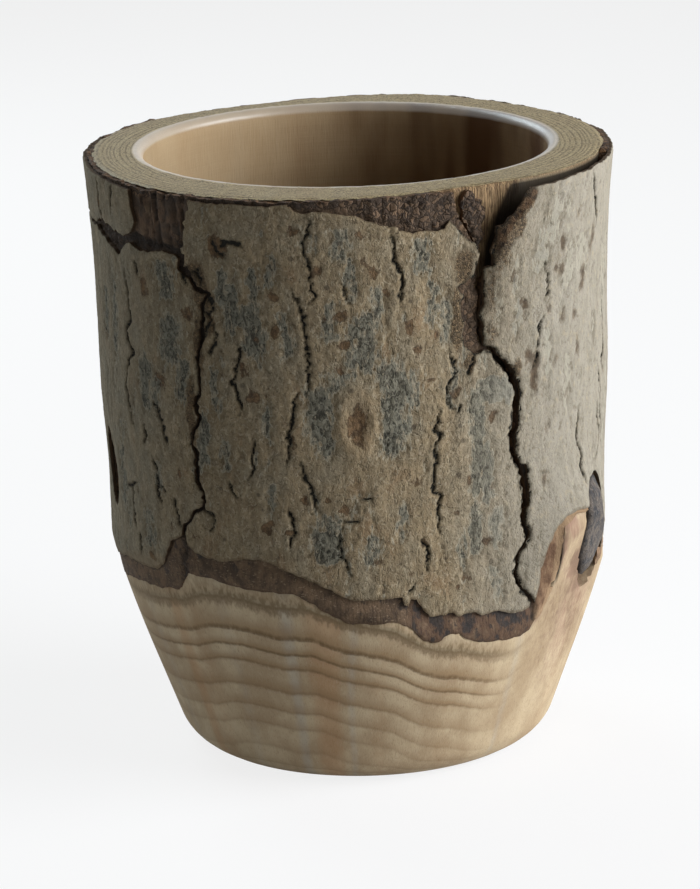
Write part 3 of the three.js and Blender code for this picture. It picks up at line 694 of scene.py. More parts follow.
def grown_cracks(middle):
    """Cracks for the sides and back: each wanders up from a seeded start."""
    found = []
    for seed, count, start, end in WILD_CRACKS:
        chance = np.random.default_rng(seed)
        for _ in range(count):
            angle = chance.uniform(start, end)
            height = chance.uniform(60, 116)
            line = [(angle, height)]
            for _ in range(chance.integers(4, 9)):
                angle += chance.uniform(-1.9, 1.9)
                height += chance.uniform(2.4, 5)
                if height < 134:
                    line.append((angle, height))
            found.append((chance.uniform(0.22, 0.38), turned_to(line, middle)))
    return found


def grown_streaks():
    """Grey streaks for the sides and back, from the same seeds."""
    found = []
    for seed, count, start, end in WILD_CRACKS:
        chance = np.random.default_rng(seed + 100)
        for _ in range(2 * count):
            top = chance.uniform(76, 132)
            angle = chance.uniform(start, end)
            bottom = top - chance.uniform(8, 20)
            found.append((angle, top, bottom, chance.uniform(1, 2.4)))
    return found


def jagged(spots):
    """Shakes places like ragged, and breaks drawn lines into the short zigzags of a drying crack."""
    points = around(spots)
    moved = ragged(spots, 0.6)
    moved[:, 0] += CRACK_JITTER * fractal(points, (1.5, 1.5, 1.1), 210, 2)
    moved[:, 0] += 0.3 * CRACK_JITTER * np.sign(noise(points / (1.2, 1.2, 0.8), 213))
    moved[:, 1] += 0.5 * CRACK_JITTER * fractal(points, 1.3, 216, 2)
    return moved


def crack_field(spots, middle):
    """Depth from 0 to 1 of the blind cracks' grooves, and the distance past the side of the nearest crack."""
    shaken = jagged(spots)
    width_play = 1 + 0.6 * fractal(around(spots), 1.9, 90, 2)
    groove = np.zeros(len(spots))
    gap = np.full(len(spots), REACH)
    for half, line in [*BLIND_CRACKS, *grown_cracks(middle)]:
        distance, along = line_distance(shaken, turned_to(line, middle))
        taper = np.clip(5 * np.minimum(along, 1 - along) + 0.15, 0, 1)
        wide = CRACK_WIDTH * half * taper * width_play
        depth = bell(distance / (1.1 * wide + 0.1)) * np.sqrt(taper) * min(1, 0.3 + 2.4 * half)
        groove = np.maximum(groove, depth)
        gap = np.minimum(gap, distance - wide + 0.25 * (1 - taper))
    for _, line in [*PARTING_CRACKS, (0, MAIN_CRACK_LEFT), (0, MAIN_CRACK_RIGHT)]:
        distance, _ = line_distance(shaken, turned_to(line, middle))
        gap = np.minimum(gap, distance - 0.1)
    return groove, gap


def patches(spots, marks, middle):
    """Strength at each spot of soft oval patches: (degrees, height, half width, half height, strength)."""
    result = np.zeros(len(spots))
    for at, height, wide, tall, *strength in marks:
        side = (spots[:, 0] - middle - turn_between(middle, at)) / wide
        up = (spots[:, 1] - height) / tall
        result = np.maximum(result, bell(np.hypot(side, up) * 0.95) * (strength[0] if strength else 1))
    return result


def streak_field(spots, middle):
    """Upright patches that wander and run out to a point at both ends."""
    wander = 1.6 * fractal(around(spots), (8, 8, 6), 250, 2)
    result = np.zeros(len(spots))
    for at, top, bottom, wide, *strength in [*GREY_STREAKS, *grown_streaks()]:
        up = (spots[:, 1] - (top + bottom) / 2) / ((top - bottom) / 2 + 2.5)
        taper = np.sqrt(np.clip(1 - up**2, 0.02, 1))
        side = (spots[:, 0] - middle - turn_between(middle, at) + wander) / (wide * (0.25 + 0.8 * taper))
        shown = bell(0.85 * side) * smooth(2 * (1 - np.abs(up)))
        result = np.maximum(result, shown * (strength[0] if strength else 1))
    return result


def flowing(spots, size, seed):
    """Thin wavy upright lines, like contours: 1 on a line and 0 away from it."""
    points = around(spots)
    bend = spots.copy()
    bend[:, 0] += 1.7 * fractal(points, (4.5, 4.5, 6), seed, 2)
    found = fractal(around(bend), size, seed + 5, 3, 0.6)
    return bell(found / 0.06)


def eye_ring(spots, middle):
    """How far out in the bud's eye each spot is: 0 in its middle, 1 on its outline."""
    side = (spots[:, 0] - middle - turn_between(middle, EYE["at"])) / EYE["half_width"]
    return np.hypot(side, (spots[:, 1] - EYE["height"]) / EYE["half_height"])


def broken_edge(spots, past_crack, crumble):
    """How broken the plate's edge right of the crack's wide top is, and how far its layers step down."""
    into_edge = BROKEN_WIDTH - past_crack
    broken = smooth((spots[:, 1] - BROKEN_FROM[1]) / 6) * (turn_between(0, spots[:, 0]) > BROKEN_FROM[0])
    broken = broken * smooth(2 * crumble) * smooth(into_edge / 0.5)
    layers = np.ceil(np.clip(into_edge, 0, BROKEN_WIDTH) / LAYER_STEP / 2.2)
    return broken, broken * LAYER_STEP * layers


def bark_relief(spots, middle):
    """Height of the bark over its plain shape, and the masks its colours go by."""
    points = around(spots)
    shaken = ragged(spots, 0.8)
    groove, gap = crack_field(spots, middle)
    crumble = patches(shaken, CRUMBLED, middle)
    spot = patches(ragged(spots, 1.1), SPOTS, middle)
    grey = streak_field(ragged(spots, 1.3), middle)
    faint = smooth(1.9 * fractal(points, (2.6, 2.6, 10), 260, 3) - 0.2)
    grey = np.maximum(grey, 0.62 * faint)
    swell = SWELL_RISE * fractal(points, (10, 10, 18), 1)
    ridge = fractal(points, (2.6, 2.6, 11), 4, 3)
    strand = fractal(points, (0.85, 0.85, 4.2), 8, 2)
    flake = fractal(points, (2, 2, 2.8), 12, 3)
    crumbs = grains(points, (1.2, 1.2, 1.4), 16)
    line = flowing(spots, (1.9, 1.9, 8), 220)
    wave = flowing(spots, (1.1, 1.1, 3.4), 230)
    wavy = 0.16 * line * smooth(0.5 + 2 * fractal(points, (6, 6, 9), 240, 2))
    wavy += 0.26 * wave * smooth(2 * grey) + 0.1 * wave * smooth(0.3 + 2 * fractal(points, 7, 243, 2))
    relief = swell + RIDGE_RISE * ridge + STRAND_RISE * strand + FLAKE_RISE * np.abs(flake) - 0.05
    relief -= WRINKLE_DEPTH * wavy
    relief += (CRUMB_RISE * np.sqrt(crumbs) - 0.2) * (0.03 + 0.7 * crumble)
    lips = CRACK_LIP * bell((gap - 0.75) / 0.5) * smooth(0.5 + 2 * flake)
    relief += lips - CRACK_DIP * bell(gap / 0.3) - GREY_DIP * smooth(1.5 * grey)
    relief -= CRACK_DEPTH * groove + SPOT_DIP * bell((1 - np.minimum(spot, 1)) / 0.42) * (spot > 0.2)
    ring = eye_ring(spots, middle)
    relief += EYE_RISE * bell((ring - 0.75) / 0.3)
    past_crack = outside_by(shaken, turned_to(CRACK_OPENING, middle)) + 1.2 * flake
    broken, drop = broken_edge(spots, past_crack, crumble)
    relief -= drop
    masks = dict(
        gap=gap, grey=grey * smooth(1.6 * (ring - 0.75)), spot=spot, crumble=crumble, broken=broken,
        eye=bell((ring - 0.62) / 0.34), low_place=-(relief - swell),
    )
    return relief, masks


# Shells: pieces of bark cut out of the log's surface

def slope_factor(edge, angle):
    """Turns a height above an uneven edge into a distance from it."""
    return 1 / np.hypot(1, (edge(angle + 0.4) - edge(angle - 0.4)) / 0.8)


def crack_margin(spots, middle, cracks):
    """Distance past the side of the nearest of the cracks that part the plates."""
    result = np.full(len(spots), REACH)
    play = 1 + 0.4 * fractal(around(spots), 3.1, 95, 2)
    for half, line in cracks:
        distance, _ = line_distance(spots, turned_to(line, middle))
        result = np.minimum(result, distance - np.maximum(half * play, 0.26))
    return result


def plate_margin(middle, holes, sides):
    """How far inside its own outline a bark plate's spots are; sides are the routes it lies between."""
    closed = [turned_to(hole, middle) for hole in holes]

    def margin(spots):
        angle = spots[:, 0]
        shaken = ragged(spots)
        edge_spots = ragged(spots, 0.5)
        low = (edge_spots[:, 1] - outer_edge(edge_spots[:, 0])) * slope_factor(outer_edge, edge_spots[:, 0])
        high = along_line(TOP_EDGE, turn_between(0, angle)) - edge_spots[:, 1]
        result = np.minimum(np.minimum(low, high), REACH)
        for hole in closed:
            result = np.minimum(result, outside_by(shaken, hole))
        result = np.minimum(result, crack_margin(shaken, middle, PARTING_CRACKS))
        for knot in (RIGHT_KNOT, LEFT_KNOT):
            result = np.minimum(result, oval_margin(edge_spots, knot))
        for route, sign in sides:
            beyond = shaken[:, 0] - along_line(turned_to(route, middle), shaken[:, 1], axis=1)
            result = np.minimum(result, sign * beyond)
        return result

    return margin


def cell_sizes(columns, rows):
    """Width and height of the grid's cell at each of its spots."""
    wide = np.gradient(columns)
    tall = np.gradient(rows)
    return np.stack(np.meshgrid(wide, tall), axis=-1).reshape(-1, 2)


def snapped(spots, sizes, margin):
    """Moves the grid's spots nearest to the outline onto it."""
    spots = spots.copy()
    step = SLOPE_STEP
    for _ in range(2):
        value = margin(spots)
        near = np.flatnonzero(np.abs(value) < 1.2 * sizes.max(axis=1))
        slope = np.stack([
            (margin(spots[near] + shift) - value[near]) / step for shift in ((step, 0), (0, step))
        ], axis=1)
        steep = np.maximum(np.sum(slope**2, axis=1), 0.3)
        move = -(value[near] / steep)[:, None] * slope
        close = (np.abs(move) < 0.52 * sizes[near]).all(axis=1)
        spots[near[close]] += move[close]
    return spots, margin(spots)


def biggest_parts(faces, count, least):
    """Which faces belong to a patch of at least so many faces."""
    label = np.arange(count)
    while True:
        lowest = label[faces].min(axis=1)
        updated = label.copy()
        np.minimum.at(updated, faces.ravel(), np.repeat(lowest, faces.shape[1]))
        if (updated == label).all():
            break
        label = updated[updated]
    size = np.bincount(label[faces[:, 0]], minlength=count)
    return size[label[faces[:, 0]]] >= least


def border(faces):
    """Edges that only one face uses, as that face goes round them; a repeated corner makes it a triangle."""
    ends = np.concatenate([np.stack([faces[:, k], faces[:, (k + 1) % 4]], axis=1) for k in range(4)])
    ends = ends[ends[:, 0] != ends[:, 1]]
    key = np.sort(ends, axis=1)
    key = key[:, 0] * (faces.max() + 1) + key[:, 1]
    _, first, times = np.unique(key, return_index=True, return_counts=True)
    return ends[first[times == 1]]


def cut_faces(columns, rows, spots, value, margin, closed):
    """Quads of the grid inside the outline; the last corner is repeated where one corner falls away."""
    wide = len(columns)
    corner = np.arange(wide * len(rows)).reshape(len(rows), wide)
    right = np.roll(corner, -1, axis=1)
    if not closed:
        corner, right = corner[:, :-1], right[:, :-1]
    faces = np.stack([corner[:-1], right[:-1], right[1:], corner[1:]], axis=-1).reshape(-1, 4)
    held = value[faces] > -0.03
    whole = faces[held.all(axis=1)]
    three = held.sum(axis=1) == 3
    kept = faces[three]
    order = (np.argmin(held[three], axis=1)[:, None] + np.array([1, 2, 3, 3])) % 4
    faces = np.concatenate([whole, np.take_along_axis(kept, order, axis=1)])
    middle = spots[faces].mean(axis=1)
    spread = np.ptp(spots[faces][..., 0], axis=1)
    faces = faces[(margin(middle) > 0.01) & (spread < 5) | (spread > 180)]
    faces = faces[biggest_parts(faces, len(spots), SMALLEST_PATCH)]
    for _ in range(4):
        starts = np.bincount(border(faces)[:, 0], minlength=len(spots))
        pinched = np.flatnonzero(starts > 1)
        if len(pinched) == 0:
            break
        faces = faces[~np.isin(faces, pinched).any(axis=1)]
    return faces


def turned_over(faces):
    """The same faces seen from behind, a triangle's repeated corner still last."""
    last = np.where(faces[:, 2] == faces[:, 3], faces[:, 0], faces[:, 3])
    return np.stack([faces[:, 2], faces[:, 1], faces[:, 0], last], axis=1)


def outline_pull(spots, margin):
    """Unit steps towards the outline, in the (angle, height) plane."""
    step = SLOPE_STEP
    value = margin(spots)
    slope = np.stack([(margin(spots + shift) - value) for shift in ((step, 0), (0, step))], axis=1)
    return -slope / np.maximum(np.linalg.norm(slope, axis=1), 1e-6)[:, None]


def mesh_object(name, vertices, faces, smooth_angle=50):
    """An object from millimetre vertices; a face whose last two corners are the same is a triangle."""
    used = np.unique(faces)
    renumber = np.zeros(len(vertices), int)
    renumber[used] = np.arange(len(used))
    loops = [tuple(face[:3]) if face[2] == face[3] else tuple(face) for face in renumber[faces].tolist()]
    mesh = bpy.data.meshes.new(name)
    mesh.from_pydata((vertices[used] * METRE).tolist(), [], loops)
    mesh.polygons.foreach_set("use_smooth", [True] * len(loops))
    mesh.set_sharp_from_angle(angle=math.radians(smooth_angle))
    obj = bpy.data.objects.new(name, mesh)
    bpy.context.scene.collection.objects.link(obj)
    return obj, used


def store(obj, name, values):
    """Keeps a value for each vertex, for the materials to read."""
    layer = obj.data.attributes.new(name, "FLOAT", "POINT")
    layer.data.foreach_set("value", np.asarray(values, np.float32))


def shell(name, columns, rows, margin, outer, inner, closed=False, smooth_angle=50):
    """A curved, closed plate. outer(spots, distance) gives its face's radius and masks, inner its back's."""
    columns = np.asarray(columns)
    rows = np.asarray(rows)
    spots = np.stack(np.meshgrid(columns, rows), axis=-1).reshape(-1, 2)
    spots, value = snapped(spots, cell_sizes(columns, rows), margin)
    faces = cut_faces(columns, rows, spots, value, margin, closed)
    distance = np.maximum(value, 0)
    face_radius, masks = outer(spots, distance)
    back_radius = inner(spots)
    face_radius = np.maximum(face_radius, back_radius + 0.16 + 0.3 * smooth(distance / 1.6))
    rim = border(faces)
    edge_ids = np.unique(rim)
    edge_spots = spots[edge_ids]
    pull = outline_pull(edge_spots, margin)
    count = len(spots)
    middle_of = np.zeros(count, int)
    middle_of[edge_ids] = np.arange(len(edge_ids)) + 2 * count
    wobble = noise(around(edge_spots) / 0.8, 120)
    between = edge_spots + pull * (0.05 + 0.09 * wobble)[:, None]
    half_way = 0.45 + 0.2 * noise(around(edge_spots) / 1.3, 121)
    middle_radius = back_radius[edge_ids] + half_way * (face_radius[edge_ids] - back_radius[edge_ids])
    vertices = np.concatenate([
        place(spots[:, 0], face_radius, spots[:, 1]),
        place(spots[:, 0], back_radius, spots[:, 1]),
        place(between[:, 0], middle_radius, between[:, 1]),
    ])
    start, end = rim.T
    walls = np.concatenate([
        np.stack([end, start, middle_of[start], middle_of[end]], axis=1),
        np.stack([middle_of[end], middle_of[start], start + count, end + count], axis=1),
    ])
    faces = np.concatenate([faces, turned_over(faces) + count, walls])
    obj, used = mesh_object(name, vertices, faces, smooth_angle)
    torn = np.concatenate([np.exp(-distance / 0.12) * 0.5, np.ones(count + len(edge_ids))])
    store(obj, "torn", torn[used])
    for key, mask in masks.items():
        store(obj, key, np.concatenate([mask, mask, mask[edge_ids]])[used])
    return obj


def plate(name, angles, low_height, cell, holes, sides):
    """One plate of outer bark, drawn over a stretch of angles from a height up, in cells of a size in mm."""
    low_angle, high_angle = angles
    middle = (low_angle + high_angle) / 2
    columns = np.arange(low_angle, high_angle, cell)
    rows = np.arange(low_height, HEIGHT + 0.6, cell)

    def back(spots):
        angle, height = spots.T
        return bast_face(angle, height) + SEAT + lift(angle, height)

    def face(spots, distance):
        angle, height = spots.T
        relief, masks = bark_relief(spots, middle)
        broken_top = smooth((height - HEIGHT + 3) / 3)
        radius = bark_radius(angle, height) + relief - EDGE_DIP * bell(distance / 0.3) + lift(angle, height)
        bulge_at, bulge_width, bulge_rise = PLATE_BULGE
        from_bulge = angle - middle - turn_between(middle, bulge_at)
        radius += bulge_rise * bell(from_bulge / bulge_width) * smooth((height - 98) / 20)
        radius -= TOP_WEAR * broken_top * np.abs(fractal(around(spots), 1.6, 130, 2))
        turned = turned_radius(angle, height) + 0.05 * fractal(around(spots), 2, 131, 2)
        cut = soft_least(radius, turned, 0.5)
        masks["above"] = edge_height(outer_edge, spots)
        masks["lathe"] = smooth((radius - cut) / 0.5)
        masks["pale"] = np.interp(turn_between(0, angle), *np.transpose(PALE_SIDE))
        masks["calm"] = np.interp(turn_between(0, angle), *np.transpose(CALM_SIDE))
        return cut, masks

    return shell(name, columns, rows, plate_margin(middle, holes, sides), face, back)


def edge_height(edge, spots):
    """Distance of each spot above a lower edge, negative below it."""
    return np.clip((spots[:, 1] - edge(spots[:, 0])) * slope_factor(edge, spots[:, 0]), -REACH, 4 * REACH)


def steps(*parts):
    """Rows or columns with a pace for each stretch: (from, to, pace), ..."""
    runs = []
    for start, end, pace in parts:
        count = max(1, round((end - start) / pace))
        runs.append(np.linspace(start, end, count, endpoint=False))
    return np.concatenate([*runs, [parts[-1][1]]])


def inner_bark():
    """The inner bark all round: fibrous where it is bare, pebbled along the cracks and the rim."""
    columns = steps((-180, -76, 1.6), (-76, 52, 0.62), (52, 84, 1), (84, 180, 1.6))[:-1]
    rows = steps((32, 33.5, 0.5), (33.5, 62, 0.52), (62, 98, 1.4), (98, 120, 1), (120, 138.2, 0.6))

    def margin(spots):
        shaken = ragged(spots, 0.7)
        low = (shaken[:, 1] - inner_edge(shaken[:, 0])) * slope_factor(inner_edge, shaken[:, 0])
        result = np.minimum(np.minimum(low, HEIGHT - 0.5 - shaken[:, 1]), REACH)
        result = np.minimum(result, outside_by(shaken, BARE_WOOD))
        for knot in (RIGHT_KNOT, LEFT_KNOT):
            result = np.minimum(result, oval_margin(shaken, knot))
        return result

    def face(spots, distance):
        points = around(spots)
        shaken = ragged(spots, 0.7)
        open_front = smooth(0.5 - 0.5 * outside_by(shaken, FRONT_BARE))
        open_left = smooth(0.5 - 0.5 * outside_by(shaken, LEFT_BARE))
        beside_crack = smooth(0.5 - 0.5 * outside_by(shaken, CRACK_OPENING))
        bare = np.maximum(np.maximum(open_front, open_left), beside_crack * (spots[:, 1] > 60))
        fibre = fractal(points, (0.8, 0.8, 7), 140, 3)
        pebble = grains(points, (2.1, 2.1, 2.4), 144)
        pebbled = open_front * smooth((spots[:, 0] + 7) / 10)
        relief = bare * (FIBRE_RISE * fibre + 0.3 * fractal(points, 3, 146, 3))
        in_fissure = smooth(0.2 - 1.5 * outside_by(shaken, FISSURE))
        pebbled = np.maximum(pebbled, np.maximum(in_fissure, 0.8 * beside_crack * (spots[:, 1] > 102)))
        pebbled = np.maximum(pebbled, smooth((spots[:, 1] - 135.4) / 1.2))
        in_crack = beside_crack * smooth((103 - spots[:, 1]) / 3)
        slit = np.maximum(in_crack, in_fissure * (0.5 + 0.4 * smooth((spots[:, 0] + 56) / 4)))
        by_crack = line_distance(shaken, LEFT_CRACK)[0]
        slit = np.maximum(slit, 0.8 * bell(by_crack / 1.1))
        pebbled = np.maximum(pebbled, 0.9 * bell(by_crack / 2.2))
        relief += pebbled * (PEBBLE_RISE * np.sqrt(pebble) - 0.4) - SLIT_DEPTH * slit
        split = np.minimum.reduce([line_distance(shaken, line)[0] for line in BAST_SPLITS])
        relief -= open_left * (SLIT_DEPTH * bell(split / 0.45) - 0.6 * fibre)
        angle, height = spots.T
        charred = smooth((angle - 7) / 8) * smooth((47 - angle) / 3) * (1 - bare) + 0.5 * open_left
        faded = smooth((angle - 42) / 5) * smooth((90 - angle) / 8) * (height < 70)
        faded = faded * (1 - 0.45 * smooth((angle - 60) / 4))
        masks = dict(
            bare=bare, pebbled=pebbled, slit=slit, charred=charred, faded=faded,
            above=edge_height(inner_edge, spots), below=-edge_height(outer_edge, spots),
            split=open_left * bell(split / 0.3),
        )
        return bast_face(angle, height) + relief - 0.04 * bell(distance / 0.3), masks

    def back(spots):
        return bast_back(*spots.T)

    return shell("bast", columns, rows, margin, face, back, closed=True)


def chip():
    """The loose chip of inner bark on the bare wood beside the open crack."""
    columns = steps((24.5, 32.5, 0.34))
    rows = steps((124, 139, 0.36))

    def margin(spots):
        return -outside_by(ragged(spots, 1.3), CHIP)

    def face(spots, distance):
        points = around(spots)
        rough = 0.3 * fractal(points, (1, 1, 3.4), 150, 3) + 0.45 * np.sqrt(grains(points, 1.3, 152))
        plain = 0 * distance
        masks = dict(
            bare=plain + 1, pebbled=plain + 1, slit=plain, charred=plain, faded=plain,
            above=plain + REACH, below=plain - REACH, split=plain,
        )
        face_radius = wood_face(*spots.T) + SEAT + CHIP_THICKNESS + CHIP_ROUGHNESS * rough
        return face_radius + 0.25 * smooth(distance / 1.5), masks

    def back(spots):
        return wood_face(*spots.T) + SEAT

    return shell("bast_chip", columns, rows, margin, face, back)


# The wood

def socket_share(spots):
    """1 inside a branch stub's socket, 0 outside, and the depth of the nearest one."""
    share = np.zeros(len(spots))
    depth = np.zeros(len(spots))
    for knot in (RIGHT_KNOT, LEFT_KNOT):
        part = smooth(1 - oval_margin(spots, knot, 0.5) / 0.55)
        depth = np.where(part > share, knot["depth"], depth)
        share = np.maximum(share, part)
    return share, depth


def hollow_radius(height):
    """Radius of the hollow's wall at a height above the base."""
    corner = FLOOR_THICKNESS + HOLLOW_CORNER
    share = np.clip((height - FLOOR_THICKNESS) / HOLLOW_CORNER, 0, 1)
    wall_foot = HOLLOW_FLOOR_RADIUS + HOLLOW_CORNER_DRAFT
    rounded = FLOOR_FLAT_RADIUS + (wall_foot - FLOOR_FLAT_RADIUS) * np.sqrt(1 - (1 - share) ** 2)
    rise = np.clip((height - corner) / (HOLLOW_STRAIGHT_FROM - corner), 0, 1)
    return np.where(height < corner, rounded, wall_foot + (OPENING_RADIUS - wall_foot) * rise)


def log_side(angles):
    """Places on the outside of the wood, and how open to the air each one is."""
    rows = steps((0, 10, 0.9), (10, 62, 1.05), (62, 98, 3), (98, HEIGHT - 0.4, 0.9))
    spots = np.stack(np.meshgrid(angles, rows), axis=-1).reshape(-1, 2)
    points = around(spots)
    angle, height = spots.T
    shares, depth = socket_share(spots)
    open_air = smooth(1.3 - 0.4 * outside_by(ragged(spots, 0.6), CRACK_OPENING))
    open_air = np.maximum(open_air, smooth((height - HEIGHT + 1.5) / 1.5))
    open_air *= smooth((height - 61) / 3)
    fibre = 0.3 * fractal(points, (0.7, 0.7, 8), 160, 3) + 0.2 * fractal(points, 2.4, 163, 3)
    radius = wood_face(angle, height) + open_air * fibre - 0.35 * smooth((height - HEIGHT + 1) / 0.6)
    radius += 0.03 * fractal(points, (6, 6, 20), 166, 2)
    radius -= shares * (depth + 1)
    crack_at, crack_spread = NARROW_CRACK
    in_crack = np.interp(height, (66, 70, 99, 102), (0, 1, 1, 0))
    radius -= 1.2 * open_air * in_crack * (np.abs(angle - crack_at) < crack_spread)
    return place(angle, radius, height), open_air


def rim_rings(angles, turn, centre):
    """The sawn rim from its outer edge, with a small burr over the bark, to the lip of the hollow."""
    edge_radius = wood_face(angles, np.full(len(angles), HEIGHT))
    burr = 0.75 + 0.3 * fractal(place(angles, LOG_RADIUS, 0 * angles), 2.2, 300, 2)
    edge_radius = edge_radius + burr * np.interp(angles, (17, 22, 78, 86), (1, 0, 0, 1))
    outer = edge_radius[:, None] * turn
    lip = centre + (OPENING_RADIUS + LIP_ROUND) * turn
    rings = []
    for share in steps((0, 1, 1 / RIM_STEPS)):
        ring = outer + (lip - outer) * share
        saw = 0.1 * fractal(ring, (1.1, 4.5, 3), 170, 3) + 0.09 * fractal(ring, 0.9, 173, 2)
        ring[:, 2] = HEIGHT + saw - 0.25 * bell(share / 0.05) * (1 + fractal(ring, 1.5, 176, 2))
        rings.append(ring)
    return rings


def lip_rings(turn, centre):
    """The rounded lip between the rim and the hollow."""
    rings = []
    for turn_in in steps((90 / LIP_STEPS, 90, 90 / LIP_STEPS)):
        bend = math.radians(turn_in)
        ring = centre + (OPENING_RADIUS + LIP_ROUND * (1 - math.sin(bend))) * turn
        ring[:, 2] = HEIGHT - LIP_ROUND * (1 - math.cos(bend)) + 0.05 * noise(ring / 2, 175)
        rings.append(ring)
    return rings


def at_level(ring, level):
    ring[:, 2] = level
    return ring


def hollow_rings(turn, centre):
    """The hollow's wall, with the faint waves of its turning, and its floor."""
    levels = steps((HEIGHT - LIP_ROUND - 1, 96, -1.3), (96, 34, -5), (34, FLOOR_THICKNESS + 0.4, -2))
    rings = []
    for level in levels:
        radius = hollow_radius(level) - 0.12 * math.sin(level * 2.1) ** 2
        rings.append(at_level(centre + radius * turn, level))
    for radius in steps((22, 2, -5)):
        rings.append(at_level(centre + radius * turn, FLOOR_THICKNESS))
    return rings


def log_faces(levels, wide, first_base):
    """Quads from ring to ring and round to the first one, and fans that close the two floors."""
    corner = np.arange(levels * wide).reshape(levels, wide)
    right = np.roll(corner, -1, axis=1)
    floor = first_base - 1
    faces = []
    for row in range(levels):
        above = (row + 1) % levels
        if row != floor:
            faces.append(np.stack([corner[row], right[row], right[above], corner[above]], axis=1))
    hub = np.full(wide, levels * wide)
    faces.append(np.stack([corner[floor], right[floor], hub, hub], axis=1))
    faces.append(np.stack([right[first_base], corner[first_base], hub + 1, hub + 1], axis=1))
    return np.concatenate(faces)


def log_masks(places, open_air, wide, inside_rings):
    """What the wood's colours go by, at every place on the log."""
    angle = np.degrees(np.arctan2(places[:, 0], -places[:, 1]))
    level = places[:, 2]
    spots = np.stack([angle, level], axis=1)
    side_count = len(open_air)

    def rings(first, last):
        """1 on the rings from first up to last, counted from the rim's outer edge."""
        marked = np.zeros(len(places))
        marked[side_count + first * wide:side_count + last * wide] = 1
        return marked

    # The first of the two hubs at the end is the middle of the hollow's floor
    in_hollow = rings(RIM_STEPS + 1, inside_rings)
    in_hollow[-2] = 1
    drift = np.interp(angle, *np.transpose(RING_DRIFT))
    bark = bark_radius(angle, np.where(level > 90, level, 60))
    ring_depth = bark - np.hypot(places[:, 0], places[:, 1]) - drift * (1 - smooth((level - 70) / 40))
    strength = np.interp(angle, *np.transpose(RING_STRENGTH)) * (1 - in_hollow)
    foot_strength = strength * (0.55 + 0.45 * smooth((level - 8) / 16))
    # Painted shade: the wood in the narrow crack and the wood under the sprung right plate are painted nearly
    # black
    crack_at, crack_spread = NARROW_CRACK
    slit = np.interp(level, (44, 47, 99, 102), (0, 1, 1, 0))
    slit = slit * (np.abs(turn_between(crack_at, angle)) < crack_spread)
    plate_side = np.interp(level, *np.transpose(COVERED_FROM))
    shade_under_plate = smooth((angle - plate_side) / 1.6) * (angle < 90)
    shade_under_plate = shade_under_plate * smooth((level - 100) / 3) * (level < HEIGHT - 0.5)
    return dict(
        ring=np.interp(ring_depth - CAMBIUM_DEPTH, RING_DEPTHS, np.arange(len(RING_DEPTHS)) - 1),
        end_grain=rings(0, RIM_STEPS),
        hollow=in_hollow,
        lip=rings(RIM_STEPS, RIM_STEPS + LIP_STEPS),
        # Painted shade: the hollow's wall is painted darker towards +X, its right side, where the lamps leave
        # it in shade
        painted_hollow_shade=in_hollow * smooth((places[:, 0] + 34) / 60),
        under_edge=inner_edge(angle) - level,
        weathered=np.concatenate([open_air, np.zeros(len(places) - side_count)]),
        band=band_tint(spots),
        ring_strength=np.where(level > 90, 0.6 * (1 - in_hollow), foot_strength),
        stain=patches(ragged(spots, 1.2), STAINS, 0) * (level < 66),
        painted_gap_shade=np.maximum(slit, shade_under_plate) * (1 - in_hollow),
    )


def turned_log():
    """The wood: a side, a sawn rim, a lip, a hollow and a base, ring after ring, as one closed skin."""
    angles = steps((-180, 18, 0.8), (18, 44, 0.5), (44, 180, 0.8))[:-1]
    wide = len(angles)
    turn = place(angles, 1, 0 * angles)
    centre = np.array([*OPENING_CENTRE, 0])
    side, open_air = log_side(angles)
    inside_rings = [*rim_rings(angles, turn, centre), *lip_rings(turn, centre), *hollow_rings(turn, centre)]
    base = [at_level(radius * turn, 0) for radius in steps((2, 33.4, 6))]
    hubs = np.array([[*OPENING_CENTRE, FLOOR_THICKNESS], [0, 0, 0]])
    places = np.concatenate([side, *inside_rings, *base, hubs])
    levels = len(places) // wide
    obj, used = mesh_object("log", places, log_faces(levels, wide, levels - len(base)), 40)
    for key, mask in log_masks(places, open_air, wide, len(inside_rings)).items():
        store(obj, key, mask[used])
    return obj


def band_tint(spots):
    """How warm or cool the foot's wood is in its upright bands, from -1 to 1."""
    result = np.zeros(len(spots))
    for at, half, tint in FOOT_BANDS:
        wander = 1.6 * noise(around(spots) / (30, 30, 22), 180)
        result += tint * bell(turn_between(at, spots[:, 0] + wander) / half)
    return np.clip(result, -1, 1)


